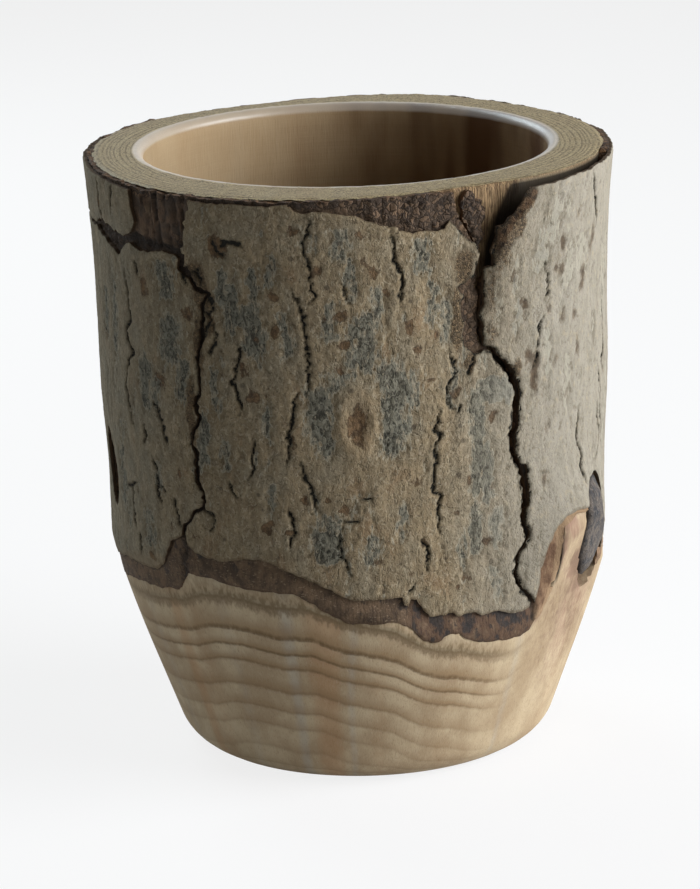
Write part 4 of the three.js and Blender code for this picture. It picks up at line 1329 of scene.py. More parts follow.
def branch_knot(name, knot):
    """The stub of a small branch: a rough domed oval, narrowing into its socket."""
    turns = np.radians(np.arange(0, 360, 4))
    lean = math.radians(knot["lean"])
    rings = [(share, "face") for share in steps((0.06, 0.9, 0.07), (0.9, 1, 0.05))]
    rings += [(1 - 0.2 * share, share) for share in steps((0.08, 1, 0.15))]
    rings += [(share, 1) for share in (0.6, 0.3, 0.06)]
    vertices = []
    for share, sink in rings:
        side = share * (knot["half_width"] - 0.55) * np.cos(turns)
        up = share * (knot["half_height"] - 0.6) * np.sin(turns)
        spots = np.stack([
            knot["at"] + knot["slip"][0] + side * math.cos(lean) + up * math.sin(lean),
            knot["height"] + knot["slip"][1] - side * math.sin(lean) + up * math.cos(lean),
        ], axis=1)
        angle, height = spots.T
        top = np.minimum(bark_radius(angle, height) - knot["recess"], turned_radius(angle, height))
        points = around(spots)
        if sink == "face":
            radius = top - 1.1 * share**6 + 0.4 * (1 - share**2)
            crumbs = np.sqrt(grains(points, 1.4, 193))
            radius += 0.45 * fractal(points, (2.4, 2.4, 3.4), 190, 3) + 0.3 * crumbs
            radius = np.minimum(radius, turned_radius(angle, height))
        else:
            radius = top - 1.3 + (knot["depth"] - 1.9) * -sink
        vertices.append(place(angle, radius, height))
    wide = len(turns)
    corner = np.arange(len(rings) * wide).reshape(len(rings), wide)
    right = np.roll(corner, -1, axis=1)
    faces = [np.stack([corner[row], corner[row + 1], right[row + 1], right[row]], axis=1)
             for row in range(len(rings) - 1)]
    caps = np.stack([vertices[0].mean(axis=0), vertices[-1].mean(axis=0)])
    hub = np.full(wide, len(rings) * wide)
    faces.append(np.stack([corner[0], right[0], hub, hub], axis=1))
    faces.append(np.stack([right[-1], corner[-1], hub + 1, hub + 1], axis=1))
    obj, used = mesh_object(name, np.concatenate([*vertices, caps]), np.concatenate(faces), 60)
    rim_share = [share if sink == "face" else 1.0 for share, sink in rings]
    store(obj, "rim_share", np.concatenate([np.repeat(rim_share, wide), [0, 1]])[used])
    return obj


# Materials

def shade(red, green, blue):
    """A colour given as seen on a screen, 0 to 255, as the renderer's own numbers."""
    parts = [part / 255 for part in (red, green, blue)]
    return [part / 12.92 if part < 0.04045 else ((part + 0.055) / 1.055) ** 2.4 for part in parts] + [1]


def add(tree, kind, inputs=None, **settings):
    """A node with its settings; inputs are numbers, or sockets to link from, by name or place."""
    node = tree.nodes.new("ShaderNode" + kind)
    for key, value in settings.items():
        setattr(node, key, value)
    for key, value in (inputs or {}).items():
        if isinstance(value, bpy.types.NodeSocket):
            tree.links.new(value, node.inputs[key])
        else:
            node.inputs[key].default_value = value
    return node


def calc(tree, operation, first, second=0.0, third=0.0, clamp=False):
    """A sum on numbers or sockets."""
    inputs = {0: first, 1: second, 2: third}
    return add(tree, "Math", inputs, operation=operation, use_clamp=clamp).outputs[0]


def times(tree, first, second):
    return calc(tree, "MULTIPLY", first, second)


def blend(tree, share, first, second):
    node = add(tree, "Mix", {0: share, 6: first, 7: second}, data_type="RGBA", blend_type="MIX")
    return node.outputs[2]


def painted(tree, colour, layers):
    """Lays tones over a colour, one after the other, each as much as its share says."""
    for share, tone in layers:
        colour = blend(tree, share, colour, tone)
    return colour


def between(tree, value, low, high, start=0.0, end=1.0):
    """Runs smoothly from start to end while value runs from low to high."""
    inputs = {"Value": value, "From Min": low, "From Max": high, "To Min": start, "To Max": end}
    return add(tree, "MapRange", inputs, interpolation_type="SMOOTHSTEP").outputs["Result"]


def mask_of(tree, name):
    """A value that was stored on the mesh."""
    return add(tree, "Attribute", attribute_name=name).outputs["Fac"]


def new_group(name, inputs, outputs):
    tree = bpy.data.node_groups.new(name, "ShaderNodeTree")
    for label, kind, value in inputs:
        socket = tree.interface.new_socket(label, in_out="INPUT", socket_type="NodeSocket" + kind)
        socket.default_value = value
    for label, kind in outputs:
        tree.interface.new_socket(label, in_out="OUTPUT", socket_type="NodeSocket" + kind)
    return tree, tree.nodes.new("NodeGroupInput").outputs, tree.nodes.new("NodeGroupOutput").inputs


def own_place(tree, unit):
    """The shaded spot's place on its object, in a unit given in metres."""
    spot = add(tree, "TexCoord").outputs["Object"]
    return add(tree, "VectorMath", {0: spot, "Scale": 1 / unit}, operation="SCALE").outputs[0]


def grain_group():
    """Noise whose features are Size millimetres long on each axis."""
    tree, given, result = new_group(
        "Drawn-out noise",
        [("Size", "Vector", (1, 1, 1)), ("Detail", "Float", 3.0), ("Shift", "Float", 0.0)],
        [("Value", "Float")],
    )
    in_mm = own_place(tree, METRE)
    scaled = add(tree, "VectorMath", {0: in_mm, 1: given["Size"]}, operation="DIVIDE").outputs[0]
    moved = add(tree, "VectorMath", {0: scaled, 1: given["Shift"]}, operation="ADD").outputs[0]
    inputs = {"Vector": moved, "Scale": 1.0, "Detail": given["Detail"], "Roughness": 0.58}
    found = add(tree, "TexNoise", inputs)
    tree.links.new(found.outputs["Fac"], result["Value"])
    return tree


def crumb_group():
    """Small separate cells: a random value for each, and how near its border a place is."""
    tree, given, result = new_group(
        "Crumbs",
        [("Size", "Float", 1.0), ("Shift", "Float", 0.0)],
        [("Border", "Float"), ("Chance", "Float")],
    )
    in_mm = own_place(tree, METRE)
    size = calc(tree, "DIVIDE", 1.0, given["Size"])
    scaled = add(tree, "VectorMath", {0: in_mm, "Scale": size}, operation="SCALE").outputs[0]
    bend = add(tree, "TexNoise", {"Vector": scaled, "Scale": 0.8, "Detail": 3.0}).outputs["Color"]
    bent = add(tree, "VectorMath", {0: bend, "Scale": 1.6}, operation="SCALE").outputs[0]
    moved = add(tree, "VectorMath", {0: scaled, 1: given["Shift"]}, operation="ADD").outputs[0]
    moved = add(tree, "VectorMath", {0: moved, 1: bent}, operation="ADD").outputs[0]
    edge = add(tree, "TexVoronoi", {"Vector": moved, "Scale": 1.0}, feature="DISTANCE_TO_EDGE")
    cell = add(tree, "TexVoronoi", {"Vector": moved, "Scale": 1.0}, feature="F1")
    tree.links.new(edge.outputs["Distance"], result["Border"])
    tree.links.new(add(tree, "SeparateColor", {0: cell.outputs["Color"]}).outputs[0], result["Chance"])
    return tree


def ragged_mask_group():
    """Turns a soft mask into a crisp one with a frayed edge."""
    tree, given, result = new_group(
        "Frayed mask",
        [("Mask", "Float", 0.0), ("Noise", "Float", 0.5), ("Fray", "Float", 0.5), ("Level", "Float", 0.5),
         ("Softness", "Float", 0.1)],
        [("Mask", "Float")],
    )
    centred = calc(tree, "SUBTRACT", given["Noise"], 0.5)
    shaken = calc(tree, "MULTIPLY_ADD", centred, given["Fray"], given["Mask"])
    low = calc(tree, "SUBTRACT", given["Level"], given["Softness"])
    high = calc(tree, "ADD", given["Level"], given["Softness"])
    tree.links.new(between(tree, shaken, low, high), result["Mask"])
    return tree


GRAIN = grain_group()
CRUMBS = crumb_group()
FRAYED = ragged_mask_group()


def use_group(tree, group, **inputs):
    node = tree.nodes.new("ShaderNodeGroup")
    node.node_tree = group
    for key, value in inputs.items():
        if isinstance(value, bpy.types.NodeSocket):
            tree.links.new(value, node.inputs[key])
        else:
            node.inputs[key].default_value = value
    return node.outputs


def grain(tree, size, detail=3.0, shift=0.0):
    return use_group(tree, GRAIN, Size=size, Detail=detail, Shift=shift)["Value"]


def frayed(tree, mask, fuzz, fray=0.5, level=0.5, softness=0.1):
    """A soft mask made crisp, with an edge frayed by some noise."""
    return use_group(tree, FRAYED, Mask=mask, Noise=fuzz, Fray=fray, Level=level, Softness=softness)["Mask"]


def contour(tree, value, count):
    """Thin wavy lines where a noise passes each of `count` levels."""
    level = calc(tree, "FRACT", calc(tree, "MULTIPLY", value, count))
    away = calc(tree, "ABSOLUTE", calc(tree, "SUBTRACT", level, 0.5))
    return between(tree, away, 0.17, 0.07)


def new_material(name):
    material = bpy.data.materials.new(name)
    material.use_nodes = True
    tree = material.node_tree
    tree.nodes.clear()
    surface = add(tree, "BsdfPrincipled")
    output = tree.nodes.new("ShaderNodeOutputMaterial")
    tree.links.new(surface.outputs[0], output.inputs["Surface"])
    return material, tree, surface


def finish_surface(tree, surface, colour, height, depth, roughness, gloss=0.35):
    """Links the colour and a fine bump that is `depth` mm high to the surface."""
    bump = add(tree, "Bump", {"Height": height, "Strength": 1.0, "Distance": depth * METRE})
    tree.links.new(colour, surface.inputs["Base Color"])
    tree.links.new(bump.outputs[0], surface.inputs["Normal"])
    surface.inputs["Roughness"].default_value = roughness
    surface.inputs["Specular IOR Level"].default_value = gloss


def dark_dots(tree, fray):
    """Small dots of uneven size: their share of darkness."""
    places = own_place(tree, DOT_SPACING * METRE)
    cell = add(tree, "TexVoronoi", {"Vector": places, "Scale": 1.0}, feature="F1")
    chance = add(tree, "SeparateColor", {0: cell.outputs["Color"]}).outputs[1]
    away = calc(tree, "MULTIPLY_ADD", fray, 0.14, cell.outputs["Distance"])
    return between(tree, calc(tree, "SUBTRACT", times(tree, chance, 0.2), away), -0.06, 0.01, 0, 0.62)


def grey_skin(tree, mottle, wisp, squiggle, curl, pale):
    """The share of the bark's grey skin, and its tone with fine dark and light lines."""
    blotch = calc(tree, "MULTIPLY_ADD", calc(tree, "SUBTRACT", mottle, 0.5), 0.7, wisp)
    grey = frayed(tree, mask_of(tree, "grey"), blotch, 2.3, 0.72, 0.3)
    tone = blend(tree, between(tree, mottle, 0.35, 0.62), shade(50, 51, 46), shade(106, 103, 90))
    tone = painted(tree, tone, [
        (times(tree, squiggle, 0.75), shade(32, 34, 31)),
        (times(tree, curl, 0.5), shade(128, 126, 112)),
        (between(tree, pale, 0.2, 1.0), shade(134, 135, 128)),
    ])
    return times(tree, grey, calc(tree, "MULTIPLY_ADD", pale, -0.35, 0.85)), tone


def crushed_tone(tree, crumb, pale, lively):
    """The tone of bark crushed to grains: each has its own, and a dark edge painted between them as painted
    shade.
    """
    light_grains = blend(tree, crumb["Chance"], shade(62, 47, 34), shade(146, 124, 96))
    edge = times(tree, between(tree, crumb["Border"], 0.12, 0.0, 0, 0.7), lively)
    tone = blend(tree, crumb["Chance"], shade(50, 38, 26), shade(134, 110, 80))
    return painted(tree, tone, [(pale, light_grains), (edge, shade(26, 20, 14))])


def brown_spots(tree, fray, mottle, pale, grain_tone):
    """The share of the bark's brown spots, and their tone."""
    blur = calc(tree, "MULTIPLY_ADD", pale, 0.24, 0.14)
    spot = frayed(tree, mask_of(tree, "spot"), fray, 1.3, 0.5, blur)
    tone = blend(tree, between(tree, mottle, 0.38, 0.6), shade(58, 42, 29), shade(112, 86, 60))
    tone = blend(tree, 0.35, tone, grain_tone)
    return times(tree, spot, calc(tree, "MULTIPLY_ADD", pale, -0.42, 0.88)), tone


def bark_material():
    """Outer bark: tan and scaly, with grey skin, brown spots and crushed grains along the crack."""
    material, tree, surface = new_material("outer_bark")
    streak = grain(tree, (2.2, 2.2, 6), 4)
    mottle = grain(tree, (1.3, 1.3, 1.7), 5, 7)
    speckle = grain(tree, (0.33, 0.33, 0.4), 2, 13)
    cloud = grain(tree, (6, 6, 9), 3, 23)
    fray = grain(tree, (1.1, 1.1, 1.8), 4, 31)
    fine_fray = grain(tree, (0.4, 0.4, 0.5), 3, 37)
    wisp = grain(tree, (0.8, 0.8, 2.6), 4, 43)
    squiggle = contour(tree, grain(tree, (2, 2, 3.8), 2, 57), 5.0)
    curl = contour(tree, grain(tree, (2, 2, 2.8), 1.5, 63), 5.0)
    crumb = use_group(tree, CRUMBS, Size=0.5, Shift=3.0)
    plain = mask_of(tree, "calm")
    pale = mask_of(tree, "pale")
    lively = calc(tree, "MULTIPLY_ADD", plain, -0.65, 1.0)
    patchy = times(tree, between(tree, fray, 0.4, 0.6, 0.2, 1.0), lively)
    colour = blend(tree, between(tree, streak, 0.3, 0.7), shade(112, 98, 76), shade(138, 121, 94))
    colour = painted(tree, colour, [
        (between(tree, cloud, 0.45, 0.66, 0, 0.45), shade(124, 116, 98)),
        (between(tree, cloud, 0.42, 0.28, 0, 0.4), shade(126, 97, 68)),
        (times(tree, plain, 0.4), shade(132, 132, 120)),
        (times(tree, pale, between(tree, streak, 0.25, 0.7, 0.5, 1.0)), shade(146, 139, 125)),
        (between(tree, mottle, 0.54, 0.7, 0, 0.5), shade(160, 146, 120)),
        (between(tree, mottle, 0.45, 0.3, 0, 0.45), shade(84, 70, 51)),
        (times(tree, times(tree, curl, patchy), 0.4), shade(172, 160, 136)),
        (times(tree, times(tree, squiggle, patchy), 0.42), shade(66, 57, 42)),
        (times(tree, between(tree, speckle, 0.6, 0.74, 0, 0.4), lively), shade(166, 154, 130)),
        (times(tree, between(tree, speckle, 0.42, 0.31, 0, 0.68), lively), shade(62, 51, 37)),
        (between(tree, mask_of(tree, "low_place"), 0.0, 0.45, 0, 0.5), shade(74, 63, 46)),
    ])
    grey, grey_tone = grey_skin(tree, mottle, wisp, squiggle, curl, pale)
    grey_rim = times(tree, between(tree, grey, 0.04, 0.35), between(tree, grey, 0.8, 0.45))
    grain_tone = crushed_tone(tree, crumb, pale, lively)
    crumbled = frayed(tree, mask_of(tree, "crumble"), fray, 1.1, 0.5, 0.22)
    split_tone = blend(tree, between(tree, mottle, 0.4, 0.62), shade(38, 28, 20), shade(104, 80, 58))
    spot, spot_tone = brown_spots(tree, fray, mottle, pale, grain_tone)
    spot_rim = times(tree, between(tree, spot, 0.05, 0.5), between(tree, spot, 0.98, 0.6))
    fringe = frayed(tree, between(tree, mask_of(tree, "above"), 1.3, 0.0), fray, 0.9, 0.65, 0.2)
    uneven = calc(tree, "SUBTRACT", fine_fray, 0.5)
    open_gap = calc(tree, "MULTIPLY_ADD", uneven, 0.65, mask_of(tree, "gap"))
    torn_tone = blend(tree, mottle, shade(34, 25, 17), shade(90, 69, 47))
    colour = painted(tree, colour, [
        (grey, grey_tone),
        (times(tree, grey_rim, 0.4), shade(170, 160, 138)),
        (between(tree, mask_of(tree, "eye"), 0.3, 0.9, 0, 0.4), shade(136, 116, 88)),
        (times(tree, crumbled, 0.8), grain_tone),
        (between(tree, mask_of(tree, "broken"), 0.15, 0.6, 0, 0.85), split_tone),
        (times(tree, dark_dots(tree, fray), lively), shade(56, 48, 40)),
        (spot, spot_tone),
        (times(tree, spot_rim, 0.5), shade(48, 36, 26)),
        (times(tree, mask_of(tree, "lathe"), 0.3), shade(128, 108, 82)),
        (times(tree, fringe, 0.4), shade(82, 65, 46)),
        # painted shade in the cracks: a darker margin round them and a near-black core, over their real
        # grooves
        (between(tree, open_gap, 0.7, 0.1, 0, 0.5), shade(60, 54, 39)),
        (between(tree, open_gap, 0.14, 0.04, 0, 0.96), shade(17, 16, 11)),
        (between(tree, mask_of(tree, "torn"), 0.3, 0.8), torn_tone),
    ])
    relief = calc(tree, "ADD", times(tree, mottle, 1.4), times(tree, speckle, 0.35))
    relief = calc(tree, "MULTIPLY_ADD", times(tree, squiggle, patchy), -0.35, relief)
    lumps = times(tree, crumbled, 0.9)
    relief = calc(tree, "MULTIPLY_ADD", between(tree, crumb["Border"], 0.0, 0.3), lumps, relief)
    relief = calc(tree, "MULTIPLY_ADD", between(tree, open_gap, 0.0, 0.25), 1.0, relief)
    finish_surface(tree, surface, colour, relief, depth=0.28, roughness=0.9, gloss=0.2)
    return material


def inner_bark_material():
    """Inner bark: dark brown fibres, rusty and charred in places, pale and dry beside the right knot."""
    material, tree, surface = new_material("inner_bark")
    fibre = grain(tree, (0.45, 0.45, 4), 4, 2)
    cloud = grain(tree, (3.5, 3.5, 5), 3, 9)
    speckle = grain(tree, (0.5, 0.5, 0.7), 2, 17)
    fleck = grain(tree, (0.8, 0.8, 0.35), 2, 21)
    upright = grain(tree, (3.2, 3.2, 5), 5, 25)
    crumb = use_group(tree, CRUMBS, Size=1.3, Shift=6.0)
    above = mask_of(tree, "above")
    sanded = calc(tree, "SUBTRACT", 1.0, mask_of(tree, "bare"), clamp=True)
    charred = frayed(tree, mask_of(tree, "charred"), cloud, 0.7, 0.5, 0.3)
    rusty = blend(tree, between(tree, upright, 0.42, 0.52), shade(36, 36, 38), shade(88, 66, 50))
    rusty = painted(tree, rusty, [
        (between(tree, upright, 0.56, 0.66), shade(110, 90, 70)),
        (between(tree, fibre, 0.5, 0.3, 0, 0.5), shade(30, 26, 24)),
    ])
    pitch = between(tree, grain(tree, (2.6, 2.6, 3.4), 4, 71), 0.6, 0.66, 0, 0.75)
    pebble = times(tree, mask_of(tree, "pebbled"), 0.8)
    lump = blend(tree, crumb["Chance"], shade(36, 29, 25), shade(108, 86, 66))
    # Painted shade: the pebbles are painted dark where they meet
    lump = blend(tree, between(tree, crumb["Border"], 0.14, 0.02), lump, shade(22, 16, 11))
    edge_line = frayed(tree, between(tree, above, 0.9, 0.0), fibre, 0.8, 0.6, 0.2)
    shade_under_plate = between(tree, mask_of(tree, "below"), 0.7, 0.0, 0, 0.6)
    dry = blend(tree, between(tree, cloud, 0.38, 0.62), shade(106, 78, 58), shade(150, 120, 92))
    faded = times(tree, frayed(tree, mask_of(tree, "faded"), cloud, 0.6, 0.5, 0.3), 0.75)
    worn = frayed(tree, between(tree, above, 2.6, 0.0), cloud, 1.2, 0.5, 0.3)
    dark = calc(tree, "MAXIMUM", mask_of(tree, "split"), mask_of(tree, "slit"))
    torn_tone = blend(tree, crumb["Chance"], shade(54, 38, 25), shade(112, 82, 54))
    colour = blend(tree, between(tree, cloud, 0.35, 0.65), shade(66, 53, 41), shade(106, 86, 66))
    colour = painted(tree, colour, [
        (between(tree, fibre, 0.52, 0.72, 0, 0.45), shade(112, 92, 70)),
        (between(tree, fibre, 0.46, 0.3, 0, 0.5), shade(38, 30, 22)),
        (times(tree, between(tree, fleck, 0.61, 0.68, 0, 0.5), sanded), shade(152, 132, 108)),
        (times(tree, charred, 0.85), rusty),
        (times(tree, pitch, sanded), shade(34, 33, 33)),
        (between(tree, speckle, 0.42, 0.32, 0, 0.5), shade(46, 36, 27)),
        (pebble, lump),
        (times(tree, edge_line, 0.5), shade(68, 52, 38)),
        # painted shade on the inner bark just under the outer bark's lower edge
        (times(tree, shade_under_plate, sanded), shade(40, 32, 24)),
        (faded, dry),
        (times(tree, worn, faded), shade(156, 130, 100)),
        # painted shade in the splits, slits and fissure: painted nearly black over their real grooves
        (times(tree, dark, 0.92), shade(20, 16, 12)),
        (between(tree, mask_of(tree, "torn"), 0.3, 0.8, 0, 0.8), torn_tone),
    ])
    relief = calc(tree, "ADD", times(tree, fibre, 0.6), times(tree, speckle, 0.4))
    relief = calc(tree, "MULTIPLY_ADD", between(tree, crumb["Border"], 0.0, 0.3), pebble, relief)
    finish_surface(tree, surface, colour, relief, depth=0.25, roughness=0.85, gloss=0.25)
    return material


def growth_rings(tree, ring, fray):
    """Each ring's late wood, and the thin line where it ends: both fade further in."""
    share = calc(tree, "FRACT", ring)
    late = times(tree, between(tree, share, 0.35, 0.97), between(tree, share, 1.0, 0.93, 0.3, 0.75))
    late = times(tree, late, between(tree, ring, 2.0, 7.0, 1.0, 0.6))
    line = calc(tree, "MAXIMUM", between(tree, share, 0.8, 0.95), between(tree, share, 0.1, 0.0))
    line = times(tree, line, between(tree, fray, 0.25, 0.6, 0.25, 0.7))
    return late, times(tree, line, between(tree, ring, 1.2, 4.0, 1.0, 0.35))


def wood_material():
    """The wood: grain and rings on the foot, open pores on the sawn rim, and a hollow painted darker on its
    right side as painted shade; also painted shade in the narrow crack and under the sprung plate, and a
    painted pale sheen on the lip.
    """
    material, tree, surface = new_material("wood")
    fibre = grain(tree, (0.32, 0.32, 9), 4, 1)
    vessel = grain(tree, (0.2, 0.2, 3.2), 2, 5)
    cloud = grain(tree, (9, 9, 16), 3, 8)
    wobble = grain(tree, (2, 2, 5), 3, 12)
    pore = grain(tree, (0.42, 0.42, 0.42), 2, 15)
    fray = grain(tree, (0.9, 0.9, 3), 3, 19)
    level_grain = grain(tree, (60, 60, 1.1), 4, 27)
    smear = grain(tree, (14, 14, 60), 2, 33)
    end_grain = mask_of(tree, "end_grain")
    hollow = mask_of(tree, "hollow")
    band = mask_of(tree, "band")
    lip = mask_of(tree, "lip")
    warm = between(tree, calc(tree, "MULTIPLY_ADD", fray, 0.6, band), 0.4, 1.2)
    cool = between(tree, calc(tree, "MULTIPLY_ADD", fray, -0.6, band), -0.5, -1.3)
    sway = calc(tree, "MULTIPLY_ADD", end_grain, -0.12, 0.16)
    ring = calc(tree, "MULTIPLY_ADD", calc(tree, "SUBTRACT", wobble, 0.5), sway, mask_of(tree, "ring"))
    strength = times(tree, mask_of(tree, "ring_strength"), between(tree, ring, -1.2, -0.9))
    late, line = growth_rings(tree, ring, fray)
    uneven = calc(tree, "SUBTRACT", fray, 0.5)
    outermost = calc(tree, "MULTIPLY_ADD", uneven, 0.5, calc(tree, "ABSOLUTE", ring))
    outermost = times(tree, between(tree, outermost, 0.3, 0.1), strength)
    outermost_tone = blend(tree, fibre, shade(84, 68, 48), shade(136, 116, 88))
    cambium = between(tree, mask_of(tree, "under_edge"), -0.5, 0.2)
    cambium = times(tree, between(tree, ring, 0.02, -0.08), cambium)
    cambium = times(tree, times(tree, cambium, strength), 0.5)
    cambium_tone = blend(tree, between(tree, fray, 0.35, 0.65), shade(128, 111, 86), shade(180, 164, 136))
    stain = frayed(tree, mask_of(tree, "stain"), fray, 0.9, 0.5, 0.35)
    stain_tone = blend(tree, between(tree, cloud, 0.4, 0.6), shade(106, 80, 67), shade(142, 108, 92))
    early = between(tree, calc(tree, "FRACT", times(tree, ring, 1.6)), 0.5, 0.8)
    early = times(tree, early, between(tree, wobble, 0.35, 0.6, 0.25, 0.85))
    painted_hollow_shade = times(tree, mask_of(tree, "painted_hollow_shade"), between(tree, smear, 0.4, 0.6, 0.6, 1.0))
    weather = times(tree, mask_of(tree, "weathered"), 0.92)
    weather_tone = blend(tree, between(tree, fibre, 0.36, 0.64), shade(88, 66, 46), shade(162, 134, 98))
    weather_tone = blend(tree, between(tree, fray, 0.5, 0.3, 0, 0.6), weather_tone, shade(50, 37, 25))
    colour = blend(tree, between(tree, cloud, 0.35, 0.65), shade(168, 146, 116), shade(189, 169, 138))
    colour = painted(tree, colour, [
        (between(tree, fibre, 0.52, 0.75, 0, 0.35), shade(196, 181, 156)),
        (between(tree, fibre, 0.46, 0.28, 0, 0.4), shade(138, 116, 90)),
        (between(tree, vessel, 0.38, 0.3, 0, 0.4), shade(106, 84, 60)),
        (times(tree, warm, 0.32), shade(170, 118, 72)),
        (times(tree, cool, 0.36), shade(168, 166, 158)),
        (times(tree, late, strength), shade(138, 110, 78)),
        (times(tree, line, strength), shade(96, 76, 52)),
        (times(tree, outermost, 0.75), outermost_tone),
        (cambium, cambium_tone),
        (times(tree, stain, 0.75), stain_tone),
        (times(tree, end_grain, 0.8), shade(156, 140, 102)),
        (times(tree, between(tree, pore, 0.46, 0.34), times(tree, end_grain, 0.85)), shade(78, 62, 42)),
        (times(tree, between(tree, pore, 0.54, 0.66), times(tree, end_grain, 0.6)), shade(198, 180, 140)),
        (times(tree, early, end_grain), shade(104, 88, 60)),
        (times(tree, line, times(tree, end_grain, 0.45)), shade(86, 70, 47)),
        (times(tree, hollow, 0.7), shade(168, 142, 106)),
        # painted shade: the hollow darker towards its right side
        (times(tree, painted_hollow_shade, 0.92), shade(68, 38, 12)),
        (weather, weather_tone),
        # painted shade in the narrow crack and under the sprung right plate
        (times(tree, mask_of(tree, "painted_gap_shade"), 0.93), shade(24, 19, 14)),
        # painted sheen: the lip is painted pale where its sheen shows; its real gloss is the coat set below
        (times(tree, lip, 0.28), shade(190, 188, 182)),
    ])
    relief = calc(tree, "ADD", times(tree, fibre, 0.5), times(tree, vessel, 0.5))
    for part, depth in (
        (times(tree, end_grain, pore), 2.2),
        (times(tree, hollow, level_grain), 1.0),
        (times(tree, weather, fibre), 6.0),
    ):
        relief = calc(tree, "MULTIPLY_ADD", part, depth, relief)
    finish_surface(tree, surface, colour, relief, depth=0.1, roughness=0.7, gloss=0.12)
    tree.links.new(between(tree, lip, 0.0, 1.0, 0.7, 0.4), surface.inputs["Roughness"])
    sheen = calc(tree, "MULTIPLY_ADD", end_grain, 0.14, times(tree, lip, 0.8), clamp=True)
    tree.links.new(sheen, surface.inputs["Coat Weight"])
    surface.inputs["Coat Roughness"].default_value = 0.35
    return material


def knot_material():
    """The branch stubs: grey, speckled wood with a dark rim."""
    material, tree, surface = new_material("knot_wood")
    mottle = grain(tree, (1.9, 1.9, 2.6), 4, 4)
    speckle = grain(tree, (0.5, 0.5, 0.6), 2, 14)
    crumb = use_group(tree, CRUMBS, Size=1.1, Shift=9.0)
    colour = blend(tree, between(tree, mottle, 0.35, 0.65), shade(48, 48, 50), shade(94, 85, 76))
    colour = painted(tree, colour, [
        (between(tree, speckle, 0.58, 0.7, 0, 0.4), shade(140, 128, 116)),
        (between(tree, speckle, 0.42, 0.32, 0, 0.7), shade(50, 42, 34)),
        (between(tree, mask_of(tree, "rim_share"), 0.88, 1.0, 0, 0.8), shade(44, 35, 27)),
    ])
    relief = calc(tree, "ADD", times(tree, speckle, 0.5), times(tree, crumb["Border"], 0.8))
    finish_surface(tree, surface, colour, relief, depth=0.3, roughness=0.85)
    return material


# Camera, floor and light

def aimed(obj, target, roll=0.0):
    """Turns a camera or lamp at its place towards a target."""
    way = Vector(target) - obj.location
    upright = way.to_track_quat("-Z", "Y").to_matrix()
    obj.rotation_euler = (upright @ Matrix.Rotation(math.radians(roll), 3, "Z")).to_euler()


def place_camera():
    """The photograph's view: its place, aim, tilt and focal length."""
    data = bpy.data.cameras.new("camera")
    data.sensor_width = SENSOR
    data.lens = SENSOR * FOCAL_PIXELS / FRAME_HEIGHT_PIXELS
    camera = bpy.data.objects.new("camera", data)
    bpy.context.scene.collection.objects.link(camera)
    camera.location = CAMERA_PLACE
    aimed(camera, CAMERA_AIM, CAMERA_ROLL)
    bpy.context.scene.camera = camera


def lamp(name, azimuth, elevation, distance, size, watts, colour):
    """A soft lamp that looks at the vase. Azimuth 0 is in front of it, 90 to its right."""
    data = bpy.data.lights.new(name, "AREA")
    data.shape = "DISK"
    data.size = size
    data.energy = watts
    data.color = colour
    obj = bpy.data.objects.new(name, data)
    bpy.context.scene.collection.objects.link(obj)
    turn = math.radians(azimuth)
    rise = math.radians(elevation)
    obj.location = (
        distance * math.sin(turn) * math.cos(rise),
        -distance * math.cos(turn) * math.cos(rise),
        LAMP_AIM[2] + distance * math.sin(rise),
    )
    aimed(obj, LAMP_AIM)


def seen_directly(tree):
    """1 where the camera, or a shiny or clear surface, looks at something."""
    path = add(tree, "LightPath").outputs
    shiny = calc(tree, "MAXIMUM", path["Is Glossy Ray"], path["Is Transmission Ray"])
    return calc(tree, "MAXIMUM", path["Is Camera Ray"], shiny)


def floor():
    """A pale floor: nearly white where it is seen, with the vase's soft shadow on it."""
    mesh = bpy.data.meshes.new("floor")
    reach = FLOOR_REACH
    level = cad_box[0].z - FLOOR_DROP
    corners = [(-reach, -reach), (reach, -reach), (reach, reach), (-reach, reach)]
    mesh.from_pydata([(*corner, level) for corner in corners], [], [(0, 1, 2, 3)])
    obj = bpy.data.objects.new("floor", mesh)
    bpy.context.scene.collection.objects.link(obj)
    material, tree, surface = new_material("floor")
    seen = seen_directly(tree)
    colour = blend(tree, seen, (*[FLOOR_BOUNCE] * 3, 1), (*[FLOOR_SEEN] * 3, 1))
    tree.links.new(colour, surface.inputs["Base Color"])
    surface.inputs["Roughness"].default_value = 1.0
    surface.inputs["Specular IOR Level"].default_value = 0.0
    white = add(tree, "Emission", {"Color": (1, 1, 1, 1), "Strength": 1.0})
    share = calc(tree, "MULTIPLY", seen, FLOOR_WHITE)
    mixed = add(tree, "MixShader", {0: share, 1: surface.outputs[0], 2: white.outputs[0]})
    tree.links.new(mixed.outputs[0], tree.nodes["Material Output"].inputs["Surface"])
    mesh.materials.append(material)


def surroundings():
    """White where the camera sees it, and a dim even light for everything else."""
    world = bpy.data.worlds.new("studio")
    bpy.context.scene.world = world
    world.use_nodes = True
    tree = world.node_tree
    way = add(tree, "SeparateXYZ", {0: add(tree, "TexCoord").outputs["Generated"]}).outputs["Z"]
    light = blend(tree, between(tree, way, 0.15, 0.7), (*AMBIENT, 1), (*AMBIENT_ABOVE, 1))
    shown = blend(tree, seen_directly(tree), light, (1, 1, 1, 1))
    tree.links.new(shown, tree.nodes["Background"].inputs["Color"])


bpy.context.scene.view_settings.view_transform = "Standard"
place_camera()
surroundings()
lamp("key", azimuth=76, elevation=16, distance=0.9, size=0.8, watts=15.4, colour=(0.97, 1.0, 1.05))
lamp("fill", azimuth=-72, elevation=2, distance=1.1, size=0.4, watts=1.4, colour=(0.84, 0.96, 1.1))
lamp("back", azimuth=212, elevation=34, distance=0.9, size=0.5, watts=3.6, colour=(0.82, 0.94, 1.0))
floor()

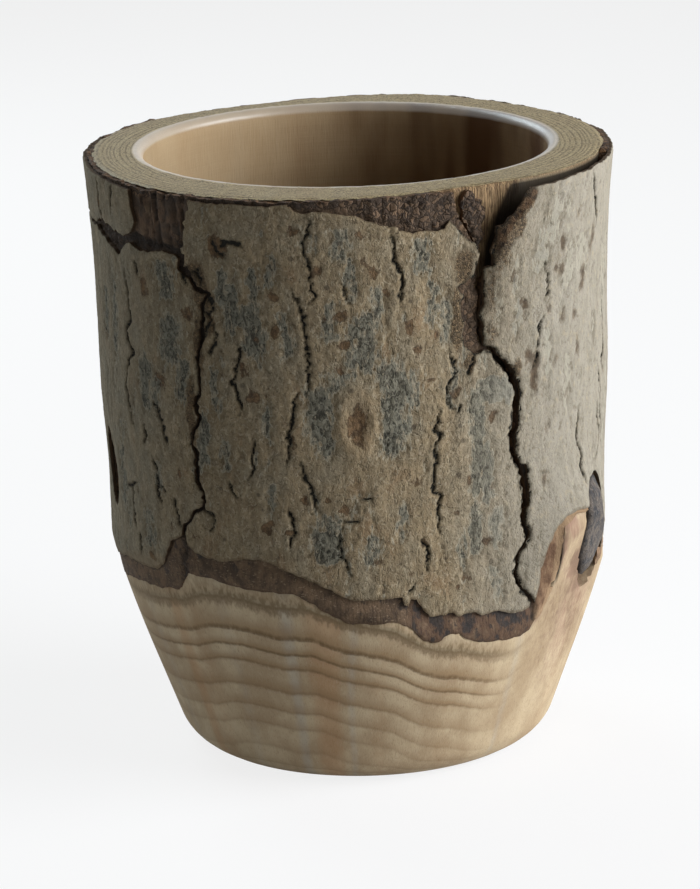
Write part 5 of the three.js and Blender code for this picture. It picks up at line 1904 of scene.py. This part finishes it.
# The pieces. What lies above the level fissure is left out of the left plate, and what lies below it out of
# the flake.
ABOVE_FISSURE = (*FLAKE_FOOT, *FISSURE[:12], (-36, 150), (-97, 150))
BELOW_FISSURE = (*FLAKE_FOOT, *reversed(FISSURE[14:24]), (-48, 110), (-98, 110))

pieces = [
    ("front_bark_plate", "outer_bark", plate(
        "front_bark", (-44, 45.4), 39.5, 0.42,
        holes=[CRACK_OPENING, FRONT_BARE, LEFT_BARE, FISSURE],
        sides=[(LEFT_CRACK, 1), (MAIN_CRACK_MIDDLE, -1)],
    )),
    ("right_bark_plate", "outer_bark", plate(
        "right_bark", (27, 133), 38, 0.5,
        holes=[CRACK_OPENING],
        sides=[(MAIN_CRACK_MIDDLE, 1), (BACK_RIGHT_CRACK, -1)],
    )),
    ("back_bark_plate", "outer_bark", plate(
        "back_bark", (124, 236), 38, 0.52,
        holes=[],
        sides=[(BACK_RIGHT_CRACK, 1), (BACK_LEFT_CRACK, -1)],
    )),
    ("left_bark_plate", "outer_bark", plate(
        "left_bark", (-133, -28), 38, 0.48,
        holes=[CRACK_OPENING, LEFT_BARE, FISSURE, ABOVE_FISSURE],
        sides=[(BACK_LEFT_CRACK, 1), (LEFT_CRACK, -1)],
    )),
    ("upper_left_bark_flake", "outer_bark", plate(
        "upper_left_flake", (-98, -48), 122, 0.4,
        holes=[LEFT_BARE, FISSURE, BELOW_FISSURE],
        sides=[(FLAKE_CRACK, 1)],
    )),
    ("inner_bark", "inner_bark", inner_bark()),
    ("inner_bark_chip", "inner_bark", chip()),
    ("turned_log", "wood", turned_log()),
    ("right_branch_knot", "knot_wood", branch_knot("right_knot", RIGHT_KNOT)),
    ("left_branch_knot", "knot_wood", branch_knot("left_knot", LEFT_KNOT)),
]
materials = {
    "outer_bark": bark_material(),
    "inner_bark": inner_bark_material(),
    "wood": wood_material(),
    "knot_wood": knot_material(),
}
for node, slot_name, piece in pieces:
    piece.data.materials.append(materials[slot_name])
    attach(piece, "root")
    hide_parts(node)
